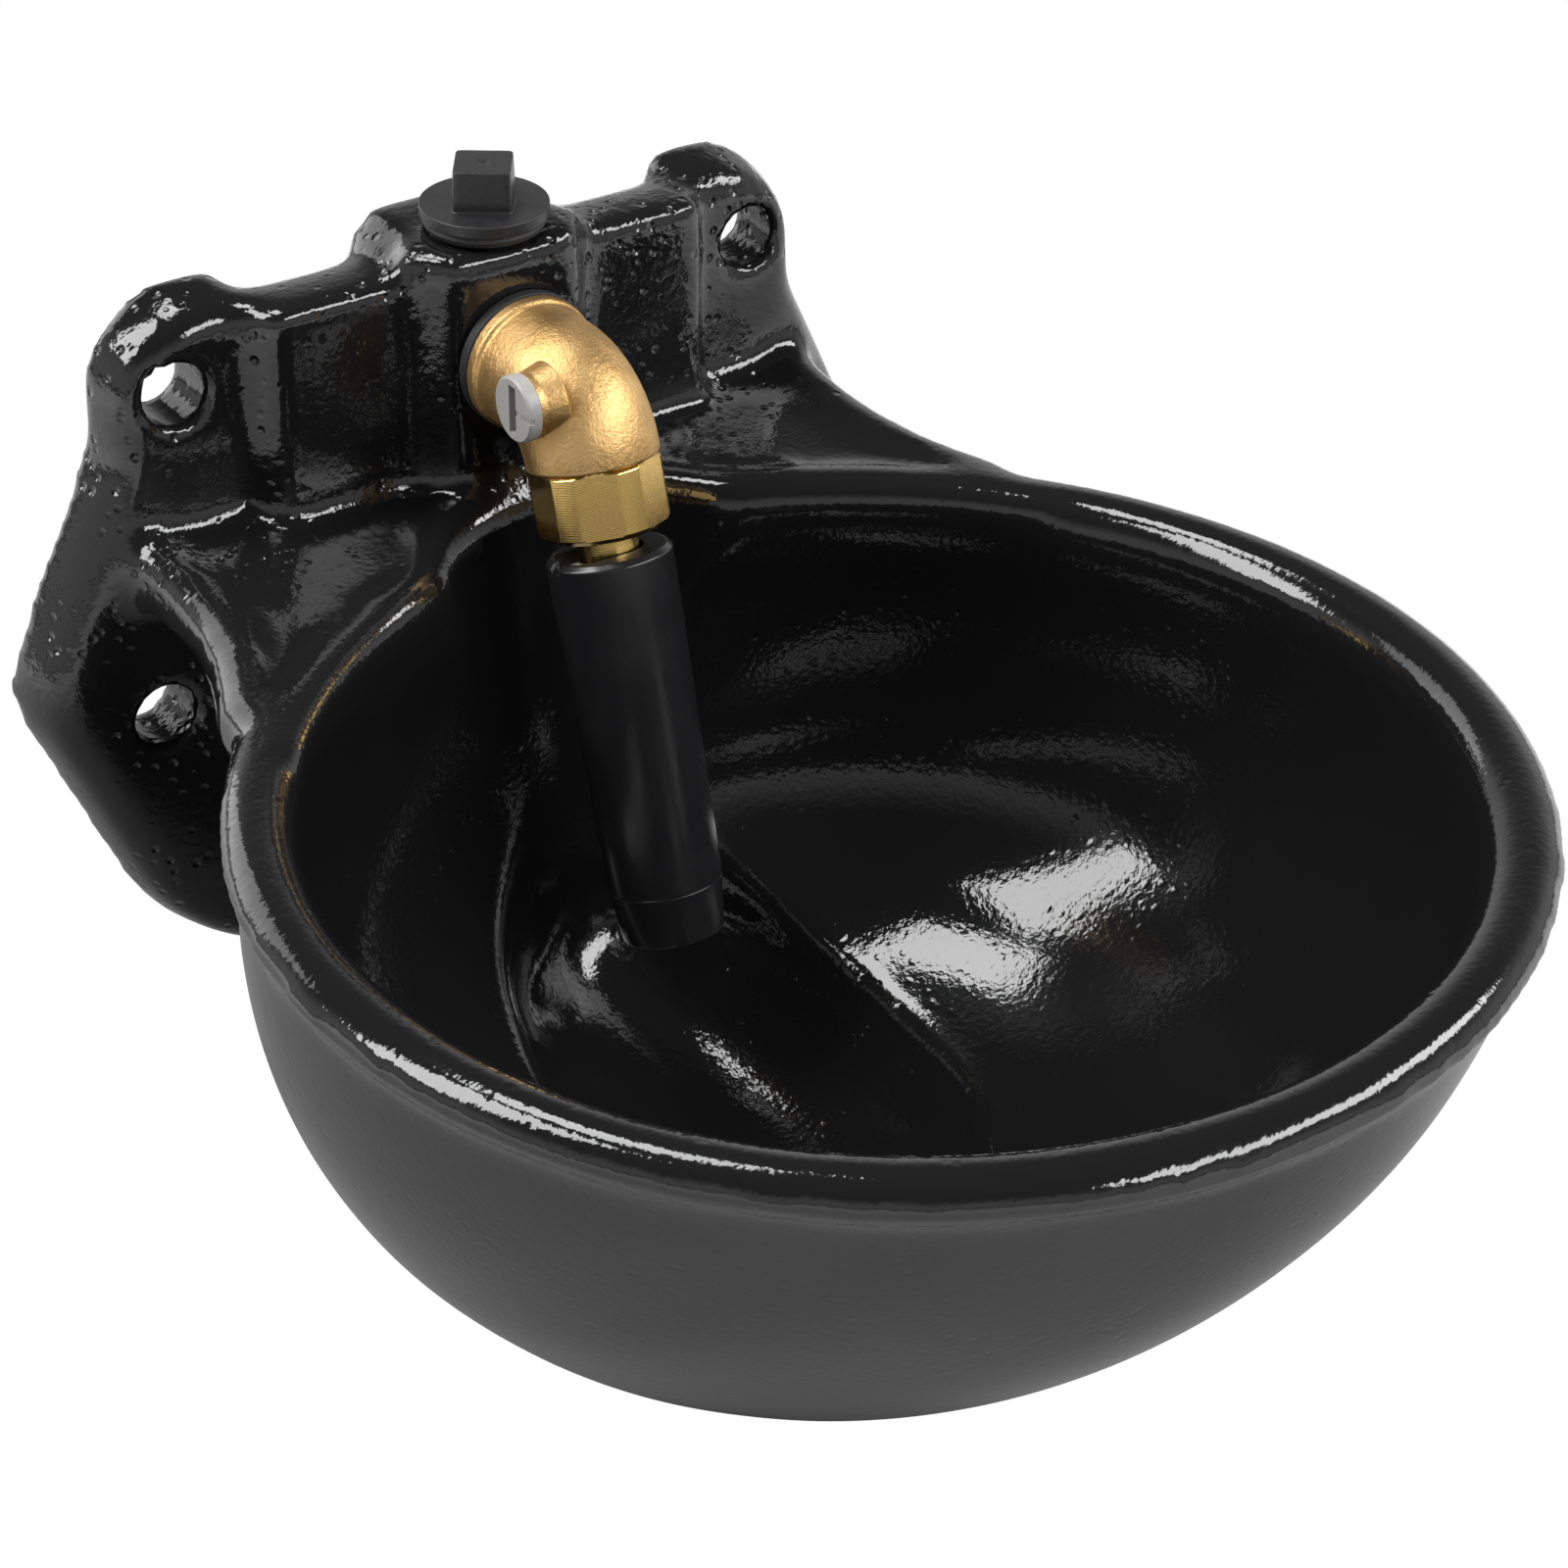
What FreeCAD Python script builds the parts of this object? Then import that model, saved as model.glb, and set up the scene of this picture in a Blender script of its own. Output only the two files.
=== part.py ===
import FreeCAD, Part
import math
import os
import Sketcher
from FreeCAD import Placement, Rotation, Vector
from types import SimpleNamespace

# Livestock drinking bowl with a pipe valve, for bolting to a wall or a tube.
# The origin lies on the wall plane, midway between the two upper bolt holes.
# X runs to the right, Y into the wall and Z up. All sizes are in millimetres.

doc = FreeCAD.newDocument("drinking_bowl")
sheet = doc.addObject("Spreadsheet::Sheet", "sizes")

SIZES = [
    # Bolt holes and back plate
    ("upper_hole_x", 72.0, "upper bolt holes, distance from the middle"),
    ("lower_hole_x", 80.0, "lower bolt holes, distance from the middle"),
    ("lower_hole_drop", 76.0, "lower bolt holes below the upper ones"),
    ("bolt_hole_radius", 7.5, "cored bolt holes"),
    ("bolt_hole_mouth", 1.2, "widening of a bolt hole at its mouth"),
    ("plate_depth", 17.3, "back plate, wall to front face"),
    ("plate_draft", 3.0, "inward lean of the plate's side over its depth"),
    ("plate_edge", 4.5, "rounded front edge of the plate"),
    ("ear_top", 21.0, "top of the ears"),
    ("ear_half_width", 88.0, "outer side of the ears"),
    ("ear_corner", 25.0, "outer corner radius of the ears"),
    ("ear_inner_x", 57.0, "inner side of the ears"),
    ("waist_z", -14.0, "where the plate's side starts to flare"),
    ("hip_half_width", 109.0, "widest half width of the plate"),
    ("hip_z", -60.0, "height of the widest place"),
    ("hip_corner", 26.0, "corner radius at the widest place"),
    ("foot_half_width", 89.0, "half width where the bottom corner starts"),
    ("foot_z", -121.0, "height where the bottom corner starts"),
    ("foot_corner", 52.0, "bottom corner radius"),
    ("plate_bottom", -152.0, "lowest edge of the plate"),
    ("bottom_half_flat", 46.0, "half width of the straight bottom edge"),
    # Middle of the plate and the water block
    ("mid_front", 26.0, "raised middle of the plate, wall to front face"),
    ("mid_half_width", 53.5, "half width of the raised middle"),
    ("mid_top", 17.5, "top of the raised middle"),
    ("mid_recess", 5.5, "hollow behind the raised middle"),
    ("block_front", 36.0, "water block, wall to front face"),
    ("block_half_width", 17.5, "half width of the water block"),
    ("block_top", 23.8, "top of the water block"),
    ("block_fillet", 5.5, "hollow corner beside the water block"),
    ("rib_half_width", 22.0, "half width of the rib behind the water block"),
    ("rib_depth", 15.0, "depth of that rib"),
    ("rib_top", 20.0, "top of that rib"),
    ("back_wall", 8.0, "casting wall left behind the raised middle"),
    ("core_inner", 18.5, "inner side of the hollow behind the neck"),
    ("core_outer", 44, "outer side of the hollow behind the neck, at the wall"),
    ("core_outer_deep", 42, "outer side of the hollow behind the neck, at its bottom"),
    ("core_top", 45, "depth of the hollow's top below the upper holes"),
    ("core_foot", 114, "depth of the hollow's foot below the upper holes"),
    ("core_depth", 42, "depth of the hollow behind the neck"),
    ("core_draft", 7, "draft of the hollow behind the neck"),
    # Water channel and ports
    ("channel_y", 22.0, "channel axis from the wall"),
    ("channel_radius", 7.5, "water channel"),
    ("channel_boss", 15.0, "boss round the channel"),
    ("port_radius", 10.48, "half inch pipe thread, outer radius"),
    ("port_depth", 16.0, "depth of the top and bottom ports"),
    ("thread_clearance", 0.08, "radial clearance of a screwed joint"),
    ("front_port_z", -2.0, "height of the front port"),
    ("front_port_depth", 9.0, "depth of the front port"),
    ("front_passage_radius", 6.6, "passage from the channel to the front port"),
    # Shoulders
    ("shoulder_plate_half", 88, "shoulder half width at the plate"),
    ("shoulder_rim_half", 97, "shoulder half width where it meets the rim"),
    ("shoulder_rim_y", 76.0, "where the shoulder meets the rim"),
    ("shoulder_top", -31.5, "shoulder surface at the plate"),
    ("shoulder_fall", 5.5, "fall of the shoulder towards the bowl"),
    ("shoulder_edge_radius", 85, "inward curve of the shoulders' outer edge"),
    ("lip_rise", 1.0, "height of the mouth's lip over the shoulder, at the plate"),
    ("lip_fall", 3.0, "fall of the lip from plate to rim"),
    ("lip_width", 10, "width of the raised lip round the mouth"),
    ("shoulder_thick", 13.0, "thickness of the shoulder"),
    ("bead_radius", 5.5, "rounded bead along the shoulder"),
    ("bead_rise", 3.0, "bead above the shoulder surface"),
    # Rim and bowl
    ("bowl_y", 173.4, "rim centre from the wall"),
    ("rim_outer", 131.4, "outer radius of the rim"),
    ("rim_width", 16.9, "width of the rim bead, outside to inside"),
    ("rim_lip", 4.6, "overhang of the rim past the shell"),
    ("rim_top", -33.0, "top of the rim bead"),
    ("rim_edge", -38.5, "widest place of the rim bead"),
    ("rim_under", -41.8, "underside of the rim bead"),
    ("rim_curve", 10.5, "curvature of the rim bead"),
    ("rim_open_angle", 46.0, "half angle at the back without rim bead"),
    ("shell_shift", 31.0, "deepest place, moved towards the wall"),
    ("shell_fullness", 2.15, "exponent of the outside curve"),
    ("dish_shift", 24.0, "inside deepest place, moved towards the wall"),
    ("dish_fullness", 2.7, "exponent of the inside curve"),
    ("dish_depth", 100.6, "depth of the dish below the rim, to where it would close"),
    ("ridge_drop", 98.2, "depth of the ridge round the pool"),
    ("pool_half", 44.6, "half width of the pool"),
    ("pool_y", 141, "middle of the pool from the wall"),
    ("pool_back", 84, "reach of the pool towards the wall"),
    ("pool_front", 52, "reach of the pool towards the front"),
    ("pool_height", 34, "height of the pool's egg shape"),
    ("pool_rise", 12, "height of the egg's middle above the ridge"),
    ("pool_wall", 10, "iron under the pool"),
    # Alcove and trough in the bowl
    ("alcove_radius", 38.0, "half round alcove behind the valve tube"),
    ("alcove_back", 5, "iron between water block and alcove, at the rim"),
    ("alcove_taper", 4, "narrowing of the alcove from rim to ridge"),
    ("alcove_lean", 8.2, "lean of the alcove's axis from vertical"),
    ("corner_radius", 17, "round of the corners between alcove and dish"),
    ("mouth_round", 6.5, "round of the mouth's edge on the shoulders"),
    # Neck between plate and bowl
    ("neck_plate_half", 60.0, "neck half width at the plate"),
    ("neck_plate_depth", 96.0, "neck depth at the plate"),
    ("neck_mid_half", 76.0, "neck half width halfway"),
    ("neck_mid_depth", 108.0, "neck depth halfway"),
    ("neck_mid_y", 60.0, "halfway section from the wall"),
    ("neck_bowl_half", 100.0, "neck half width inside the bowl"),
    ("neck_bowl_depth", 119.0, "neck depth inside the bowl"),
    ("neck_bowl_y", 112.0, "section inside the bowl from the wall"),
    # Top plug
    ("plug_flange_radius", 14.0, "plug flange"),
    ("plug_flange", 2.6, "plug flange thickness"),
    ("plug_seal", 2.6, "plug sealing ring thickness"),
    ("plug_shank", 11.0, "plug thread length"),
    ("plug_wall", 2.6, "wall of the hollow plug shank"),
    ("plug_square", 12.3, "across the square head, at the top"),
    ("plug_square_base", 13.0, "across the square head, at its foot"),
    ("plug_head", 8.9, "height of the square head"),
    ("plug_turn", 34.3, "angle at which the plug came tight"),
    # Elbow
    ("gasket", 2.5, "flat ring behind the elbow"),
    ("gasket_radius", 15.5, "its outer radius"),
    ("elbow_radius", 14.4, "outside of the elbow"),
    ("elbow_wall", 3.4, "wall of the elbow"),
    ("elbow_bend", 15.0, "bend radius of the elbow's centre line"),
    ("elbow_corner_y", 61.1, "where the elbow's two axes cross, from the wall"),
    ("elbow_collar", 2.6, "length of the collar at the inlet"),
    ("elbow_collar_radius", 15.2, "radius of that collar"),
    ("elbow_lip", 1.2, "straight lip at the outlet"),
    ("valve_tilt", 16.8, "lean of the outlet from the vertical"),
    # Flow screw
    ("screw_y", 61.5, "flow screw axis from the wall"),
    ("screw_z", 1.2, "flow screw height"),
    ("screw_radius", 7.25, "flow screw head"),
    ("screw_head", 3.0, "head thickness"),
    ("screw_gap", 0.15, "gap between the screw's head and the elbow"),
    ("screw_stem", 4.6, "stem radius"),
    ("screw_boss", 8.4, "radius of the boss that carries the screw"),
    ("screw_slot", 2.6, "width of the slot"),
    ("running_clearance", 0.08, "radial clearance of turning and sliding fits"),
    # Nut and hanger flange
    ("nut_length", 15.6, "length of the hexagon"),
    ("nut_flats", 27.0, "across flats"),
    ("nut_corner_radius", 14.3, "turned corner radius"),
    ("nut_spigot", 4.0, "threaded spigot above the hexagon"),
    ("spigot_radius", 10.4, "outer radius of the spigot thread"),
    ("nut_bore", 4.6, "water bore of the nut"),
    ("neck_radius", 6.75, "turned neck below the hexagon"),
    ("tube_gap", 4.2, "neck seen between nut and tube"),
    ("flange_radius", 9.5, "flange that carries the tube"),
    ("flange_thick", 2.5, "thickness of that flange"),
    # Valve inside the elbow
    ("seat_thick", 2.4, "rubber seat"),
    ("disc_radius", 6.9, "valve disc"),
    ("disc_thick", 2.0, "valve disc thickness"),
    ("cage_skirt", 3.4, "height of the cage's skirt"),
    ("cage_wall", 0.9, "wall of the cage's skirt"),
    ("cage_height", 11.6, "height of the cage"),
    ("cage_top_radius", 4.6, "radius of the cage's top"),
    ("cage_top", 1.6, "thickness of the cage's top"),
    ("pin_radius", 1.5, "valve pin"),
    ("spring_radius", 3.6, "mean radius of the spring"),
    ("spring_wire", 0.4, "wire radius of the spring"),
    ("spring_half_turns", 7, "half turns of wire in the spring"),
    # Tube
    ("collar_thick", 3.0, "split collar that hangs on the flange"),
    ("collar_play", 0.95, "radial play of the collar round the neck"),
    ("collar_slot", 13.8, "mouth of the split collar"),
    ("glide_thick", 1.0, "glide ring between flange and collar"),
    ("glide_radius", 9.2, "outer radius of the glide ring"),
    ("tube_top_radius", 13.75, "outside of the tube at its top"),
    ("tube_low_radius", 12.6, "outside of the tube at its foot"),
    ("tube_length", 76.0, "tube length"),
    ("tube_wall", 2.2, "tube wall"),
    ("tube_chamfer", 1.2, "chamfer at the tube's top"),
    ("tip_length", 12.0, "length of the tube's tip"),
    ("tip_low_radius", 11.2, "outside of the tip at its end"),
    ("tip_socket", 6.0, "length of tip inside the tube"),
    ("bridge_drop", 12.0, "bridge below the glide ring"),
    ("bridge_thick", 2.6, "bridge thickness"),
    ("foot_gap", 0.3, "play between pin foot and bridge"),
    ("foot_radius", 3.0, "radius of the pin's foot"),
    ("foot_height", 4.0, "height of the pin's foot"),
]

for row, (alias, number, note) in enumerate(SIZES, start=1):
    sheet.set("A%d" % row, note)
    sheet.set("B%d" % row, str(number))
    sheet.setAlias("B%d" % row, alias)
doc.recompute()


class Size:
    """A number together with the sheet expression that it comes from."""

    def __init__(self, number, text):
        self.number = number
        self.text = text

    def __add__(self, other):
        other = as_size(other)
        return Size(self.number + other.number, "(%s + %s)" % (self.text, other.text))

    def __radd__(self, other):
        return as_size(other) + self

    def __sub__(self, other):
        other = as_size(other)
        return Size(self.number - other.number, "(%s - %s)" % (self.text, other.text))

    def __rsub__(self, other):
        return as_size(other) - self

    def __mul__(self, other):
        other = as_size(other)
        return Size(self.number * other.number, "(%s * %s)" % (self.text, other.text))

    def __rmul__(self, other):
        return as_size(other) * self

    def __truediv__(self, other):
        other = as_size(other)
        return Size(self.number / other.number, "(%s / %s)" % (self.text, other.text))

    def __rtruediv__(self, other):
        return as_size(other) / self

    def __pow__(self, other):
        other = as_size(other)
        return Size(self.number ** other.number, "(%s ^ %s)" % (self.text, other.text))

    def __rpow__(self, other):
        return as_size(other) ** self

    def __neg__(self):
        return Size(-self.number, "(0 - %s)" % self.text)


def as_size(value):
    """A plain number becomes a Size; a Size stays as it is."""
    if isinstance(value, Size):
        return value
    return Size(float(value), repr(float(value)))


def sine(angle):
    return Size(math.sin(math.radians(angle.number)), "sin(%s)" % angle.text)


def cosine(angle):
    return Size(math.cos(math.radians(angle.number)), "cos(%s)" % angle.text)


def tangent(angle):
    return Size(math.tan(math.radians(angle.number)), "tan(%s)" % angle.text)


def arctangent(rise, run):
    ratio = as_size(rise) / as_size(run)
    return Size(math.degrees(math.atan(ratio.number)), "(atan(%s) / 1 deg)" % ratio.text)


d = SimpleNamespace()
for alias, number, note in SIZES:
    setattr(d, alias, Size(float(getattr(sheet, alias)), "sizes." + alias))


def bind(obj, **properties):
    """Tie properties of an object to the sheet."""
    for name, value in properties.items():
        obj.setExpression(name, as_size(value).text)
    return obj


def place(obj, x=0, y=0, z=0, axis=(1, 0, 0), angle=0):
    """Put an object at a point, turned about an axis, all tied to the sheet."""
    point = "create(<<vector>>; %s; %s; %s)" % tuple(as_size(v).text for v in (x, y, z))
    line = "create(<<vector>>; %s; %s; %s)" % tuple(as_size(v).text for v in axis)
    turn = "create(<<rotation>>; %s; %s)" % (line, as_size(angle).text)
    obj.setExpression("Placement", "create(<<placement>>; %s; %s)" % (point, turn))
    return obj


def new_body(name):
    return doc.addObject("PartDesign::Body", name)


def arc_through(first, last, radius):
    """Arc between two points; a positive radius curves clockwise."""
    half = (last - first) * 0.5
    side = Vector(half.y, -half.x, 0)
    side.normalize()
    reach = math.sqrt(max(radius * radius - half.Length ** 2, 0.0))
    if radius < 0:
        side = side * -1
    centre = first + half + side * reach
    circle = Part.Circle(centre, Vector(0, 0, 1), abs(radius))
    clockwise = radius > 0
    begin, end = (last, first) if clockwise else (first, last)
    turn = [math.atan2(p.y - centre.y, p.x - centre.x) for p in (begin, end)]
    return Part.ArcOfCircle(circle, turn[0], turn[1]), clockwise


def add_outline(sketch, corners):
    """Closed outline; a corner's third entry is the radius of the arc that leaves it."""
    points = [Vector(as_size(c[0]).number, as_size(c[1]).number, 0) for c in corners]
    starts = []
    ends = []
    base = sketch.GeometryCount
    for index, corner in enumerate(corners):
        here = points[index]
        there = points[(index + 1) % len(points)]
        if len(corner) > 2 and corner[2] is not None:
            arc, clockwise = arc_through(here, there, as_size(corner[2]).number)
            sketch.addGeometry(arc, False)
            starts.append(2 if clockwise else 1)
            ends.append(1 if clockwise else 2)
        else:
            sketch.addGeometry(Part.LineSegment(here, there), False)
            starts.append(1)
            ends.append(2)
    for index, corner in enumerate(corners):
        following = (index + 1) % len(corners)
        sketch.addConstraint(
            Sketcher.Constraint("Coincident", base + index, ends[index], base + following, starts[following])
        )
        for kind, value in (("DistanceX", corner[0]), ("DistanceY", corner[1])):
            value = as_size(value)
            number = sketch.addConstraint(Sketcher.Constraint(kind, base + index, starts[index], value.number))
            sketch.setExpression("Constraints[%d]" % number, value.text)
        if len(corner) > 2 and corner[2] is not None:
            bend = as_size(corner[2])
            text = bend.text if bend.number > 0 else (-bend).text
            number = sketch.addConstraint(Sketcher.Constraint("Radius", base + index, abs(bend.number)))
            sketch.setExpression("Constraints[%d]" % number, text)


def new_sketch(body, role, offset=0):
    """Sketch on one of the body's own origin planes."""
    sketch = body.newObject("Sketcher::SketchObject", body.Name + "_sketch")
    plane = [f for f in body.Origin.OriginFeatures if f.Role == role][0]
    sketch.AttachmentSupport = [(plane, "")]
    sketch.MapMode = "FlatFace"
    sketch.setExpression("AttachmentOffset.Base.z", as_size(offset).text)
    return sketch


def outline(body, role, corners, offset=0):
    sketch = new_sketch(body, role, offset)
    add_outline(sketch, corners)
    return sketch


def circle_sketch(body, role, x, y, radius, offset=0):
    sketch = new_sketch(body, role, offset)
    x, y, radius = as_size(x), as_size(y), as_size(radius)
    sketch.addGeometry(Part.Circle(Vector(x.number, y.number, 0), Vector(0, 0, 1), radius.number), False)
    for kind, value in (("DistanceX", x), ("DistanceY", y)):
        number = sketch.addConstraint(Sketcher.Constraint(kind, 0, 3, value.number))
        sketch.setExpression("Constraints[%d]" % number, value.text)
    number = sketch.addConstraint(Sketcher.Constraint("Radius", 0, radius.number))
    sketch.setExpression("Constraints[%d]" % number, radius.text)
    return sketch


def pad(body, sketch, length, midplane=False, backwards=False):
    feature = body.newObject("PartDesign::Pad", body.Name + "_pad")
    feature.Profile = sketch
    feature.Midplane = midplane
    feature.Reversed = backwards
    return bind(feature, Length=length)


def pocket(body, sketch, length, midplane=False, backwards=False):
    """Cut that must take material away, or the build stops."""
    doc.recompute()
    before = body.Shape.Volume
    feature = body.newObject("PartDesign::Pocket", body.Name + "_pocket")
    feature.Profile = sketch
    feature.Midplane = midplane
    feature.Reversed = backwards
    bind(feature, Length=length)
    doc.recompute()
    if body.Shape.Volume >= before:
        raise RuntimeError(body.Name + ": a pocket cuts nothing")
    return feature


def around(body, feature, count):
    """Repeat a feature evenly about the body's Z axis."""
    doc.recompute()
    pattern = body.newObject("PartDesign::PolarPattern", body.Name + "_pattern")
    pattern.Originals = [feature]
    axis = [f for f in body.Origin.OriginFeatures if f.Role == "Z_Axis"][0]
    pattern.Axis = (axis, [""])
    pattern.Angle = 360
    pattern.Occurrences = count
    body.Tip = pattern
    doc.recompute()
    return pattern


def turned(name, corners):
    """Lathe piece: a closed profile of radius and height, revolved about the body's Z axis."""
    body = new_body(name)
    sketch = outline(body, "XZ_Plane", corners)
    feature = body.newObject("PartDesign::Revolution", name + "_turning")
    feature.Profile = sketch
    feature.ReferenceAxis = (sketch, ["V_Axis"])
    feature.Angle = 360
    return body


def cylinder(name, radius, height):
    return bind(doc.addObject("Part::Cylinder", name), Radius=radius, Height=height)


def sphere(name, radius):
    return bind(doc.addObject("Part::Sphere", name), Radius=radius)


def box(name, length, width, height):
    return bind(doc.addObject("Part::Box", name), Length=length, Width=width, Height=height)


def join(name, parts):
    result = doc.addObject("Part::MultiFuse", name)
    result.Shapes = parts
    return result


def cut(name, base, tools):
    result = doc.addObject("Part::Cut", name)
    result.Base = base
    result.Tool = join(name + "_tools", tools) if len(tools) > 1 else tools[0]
    return result


def overlap(name, first, second):
    result = doc.addObject("Part::Common", name)
    result.Base = first
    result.Tool = second
    return result


def mirrored(half):
    """Full outline from its right half, both ends kept, as it runs clockwise."""
    left = []
    for index in range(len(half) - 1, -1, -1):
        corner = half[index]
        bend = half[index - 1][2] if index > 0 and len(half[index - 1]) > 2 else None
        left.append((-as_size(corner[0]), corner[1], bend))
    right = [c if len(c) > 2 else (c[0], c[1], None) for c in half]
    return right + left


# Back plate


def plate_section(inset):
    """Plate outline seen from the front, drawn in by the inset."""
    half = [
        (d.mid_half_width, d.mid_top - inset),
        (d.ear_inner_x, d.ear_top - inset),
        (d.ear_half_width - d.ear_corner, d.ear_top - inset, d.ear_corner - inset),
        (d.ear_half_width - inset, d.ear_top - d.ear_corner),
        (d.ear_half_width - inset, d.waist_z),
        (d.hip_half_width - inset, d.hip_z, d.hip_corner),
        (d.hip_half_width - inset, d.hip_z - 14.0),
        (d.foot_half_width - inset, d.foot_z, d.foot_corner),
        (d.bottom_half_flat, d.plate_bottom + inset),
    ]
    return mirrored(half)


plate = new_body("plate_form")
plate_back = outline(plate, "XZ_Plane", plate_section(as_size(0)))
plate_side = outline(plate, "XZ_Plane", plate_section(d.plate_draft), d.plate_depth - d.plate_edge)
plate_turn = outline(
    plate, "XZ_Plane", plate_section(d.plate_draft + d.plate_edge * 0.3), d.plate_depth - d.plate_edge * 0.3
)
plate_face = outline(plate, "XZ_Plane", plate_section(d.plate_draft + d.plate_edge), d.plate_depth)
plate_loft = plate.newObject("PartDesign::AdditiveLoft", "plate_loft")
plate_loft.Profile = plate_back
plate_loft.Sections = [plate_side, plate_turn, plate_face]
plate_loft.Ruled = True

middle = new_body("raised_middle")
middle_plan = [
    (-d.mid_half_width - 5.0, -d.plate_depth + 6.0),
    (-d.mid_half_width, -d.mid_front),
    (d.mid_half_width, -d.mid_front),
    (d.mid_half_width + 5.0, -d.plate_depth + 6.0),
]
middle_base = d.shoulder_top - d.shoulder_thick
pad(middle, outline(middle, "XY_Plane", middle_plan, middle_base), d.mid_top - middle_base)

block = new_body("water_block")
block_plan = [
    (-d.block_half_width - d.block_fillet, -d.mid_front + 1.0),
    (-d.block_half_width, -d.mid_front - d.block_fillet),
    (-d.block_half_width, -d.block_front + 3.0),
    (-d.block_half_width + 3.0, -d.block_front),
    (d.block_half_width - 3.0, -d.block_front),
    (d.block_half_width, -d.block_front + 3.0),
    (d.block_half_width, -d.mid_front - d.block_fillet),
    (d.block_half_width + d.block_fillet, -d.mid_front + 1.0),
    (d.block_half_width, -d.plate_depth + 2.0),
    (d.block_half_width, 0),
    (-d.block_half_width, 0),
    (-d.block_half_width, -d.plate_depth + 2.0),
]
pad(block, outline(block, "XY_Plane", block_plan, middle_base), d.block_top - middle_base)

rib = box("rear_rib", d.rib_half_width * 2, d.rib_depth, d.rib_top - middle_base)
place(rib, x=-d.rib_half_width, y=-d.rib_depth, z=middle_base)

channel_boss = cylinder("channel_boss", d.channel_boss, middle_base - d.plate_bottom)
place(channel_boss, y=-d.channel_y, z=d.plate_bottom)

# Shoulders: flat lands on both sides of the valve, each with a rounded bead along its edge

shoulder_foot_y = d.bowl_y - 70.0
shoulder_start_y = d.plate_depth - 8.0


def side_wedge(name, top, fall):
    """Slab seen from the side: level across, falling from the plate towards the bowl."""
    body = new_body(name)
    profile = [
        (-shoulder_start_y, top),
        (-shoulder_start_y, d.shoulder_top - d.shoulder_thick),
        (-shoulder_foot_y, d.shoulder_top - d.shoulder_fall - d.shoulder_thick),
        (-shoulder_foot_y, top - fall),
    ]
    pad(body, outline(body, "YZ_Plane", profile), d.rim_outer * 2, midplane=True)
    return body


def plan_block(name, corners):
    """Upright block with the given plan, high enough for shoulders and lip."""
    body = new_body(name)
    pad(body, outline(body, "XY_Plane", corners, d.rim_top - 40.0), 60.0)
    return body


shoulder_plan = mirrored(
    [
        (d.shoulder_plate_half, -d.plate_depth + 9.0),
        (d.shoulder_plate_half, -d.plate_depth, -d.shoulder_edge_radius),
        (d.shoulder_rim_half, -d.shoulder_rim_y),
        (d.shoulder_rim_half + 1.0, -d.shoulder_rim_y - 16.0),
    ]
)
land = side_wedge("shoulder_side", d.shoulder_top, d.shoulder_fall)
shoulders = overlap("shoulders", land, plan_block("shoulder_plan", shoulder_plan))


def shoulder_bead(side):
    """Rounded bead along a shoulder's curved edge, from the plate to the rim, with round ends."""
    radius = d.bead_radius.number
    start = Vector(d.shoulder_plate_half.number - radius + 1.0, -d.plate_depth.number + 4.5, 0)
    end = Vector(d.shoulder_rim_half.number - radius + 1.0, -d.shoulder_rim_y.number - 8.0, 0)
    chord = end - start
    bow = d.shoulder_edge_radius.number
    bow = bow - math.sqrt(bow ** 2 - (chord.Length / 2) ** 2)
    middle = (start + end) / 2 - Vector(-chord.y, chord.x, 0).normalize() * bow
    start.z = d.shoulder_top.number + d.bead_rise.number - radius
    end.z = d.rim_top.number - 0.4 - radius
    middle.z = (start.z + end.z) / 2
    for point in (start, middle, end):
        point.x *= side
    line = Part.Arc(start, middle, end)
    section = Part.Wire(Part.Circle(start, line.tangent(line.FirstParameter)[0], radius).toShape())
    rod = Part.Wire(line.toShape()).makePipeShell([section], True, True)
    return rod.fuse(Part.makeSphere(radius, end))


beads = doc.addObject("Part::Feature", "shoulder_beads")
beads.Shape = shoulder_bead(-1).fuse(shoulder_bead(1))

# Bowl: rim bead, outside shell, neck to the plate, and the hollow inside

rim_inner = d.rim_outer - d.rim_width
shell_radius = d.rim_outer - d.rim_lip
pool_middle = d.rim_under - d.ridge_drop + d.pool_rise
shell_depth = d.rim_under - pool_middle + d.pool_height + d.pool_wall
rim = new_body("rim_bead")
rim_crown = (rim_inner + d.rim_outer) / 2
rim_profile = [
    (-rim_inner - 1.0, d.rim_under - 7.0),
    (-rim_inner, d.rim_under),
    (-rim_inner, d.rim_edge - 1.0, d.rim_curve),
    (-rim_crown, d.rim_top, d.rim_curve),
    (-d.rim_outer, d.rim_edge),
    (-d.rim_outer + 0.5, d.rim_under + 0.8),
    (-d.rim_outer + 1.8, d.rim_under),
    (-shell_radius + 3.0, d.rim_under - 0.6),
    (-shell_radius + 3.0, d.rim_under - 7.0),
]
# The profile lies left of its axis, so it runs clockwise when its points are taken backwards
rim_points = []
for index in range(len(rim_profile) - 1, -1, -1):
    corner = rim_profile[index]
    leaving = rim_profile[index - 1]
    bend = leaving[2] if len(leaving) > 2 and index > 0 else None
    rim_points.append((corner[0], corner[1], bend))
rim_sketch = outline(rim, "YZ_Plane", rim_points)
rim_turning = rim.newObject("PartDesign::Revolution", "rim_turning")
rim_turning.Profile = rim_sketch
rim_turning.ReferenceAxis = (rim_sketch, ["V_Axis"])
rim_turning.Midplane = True
bind(rim_turning, Angle=360 - 2 * d.rim_open_angle)
place(rim, y=-d.bowl_y)

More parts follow.
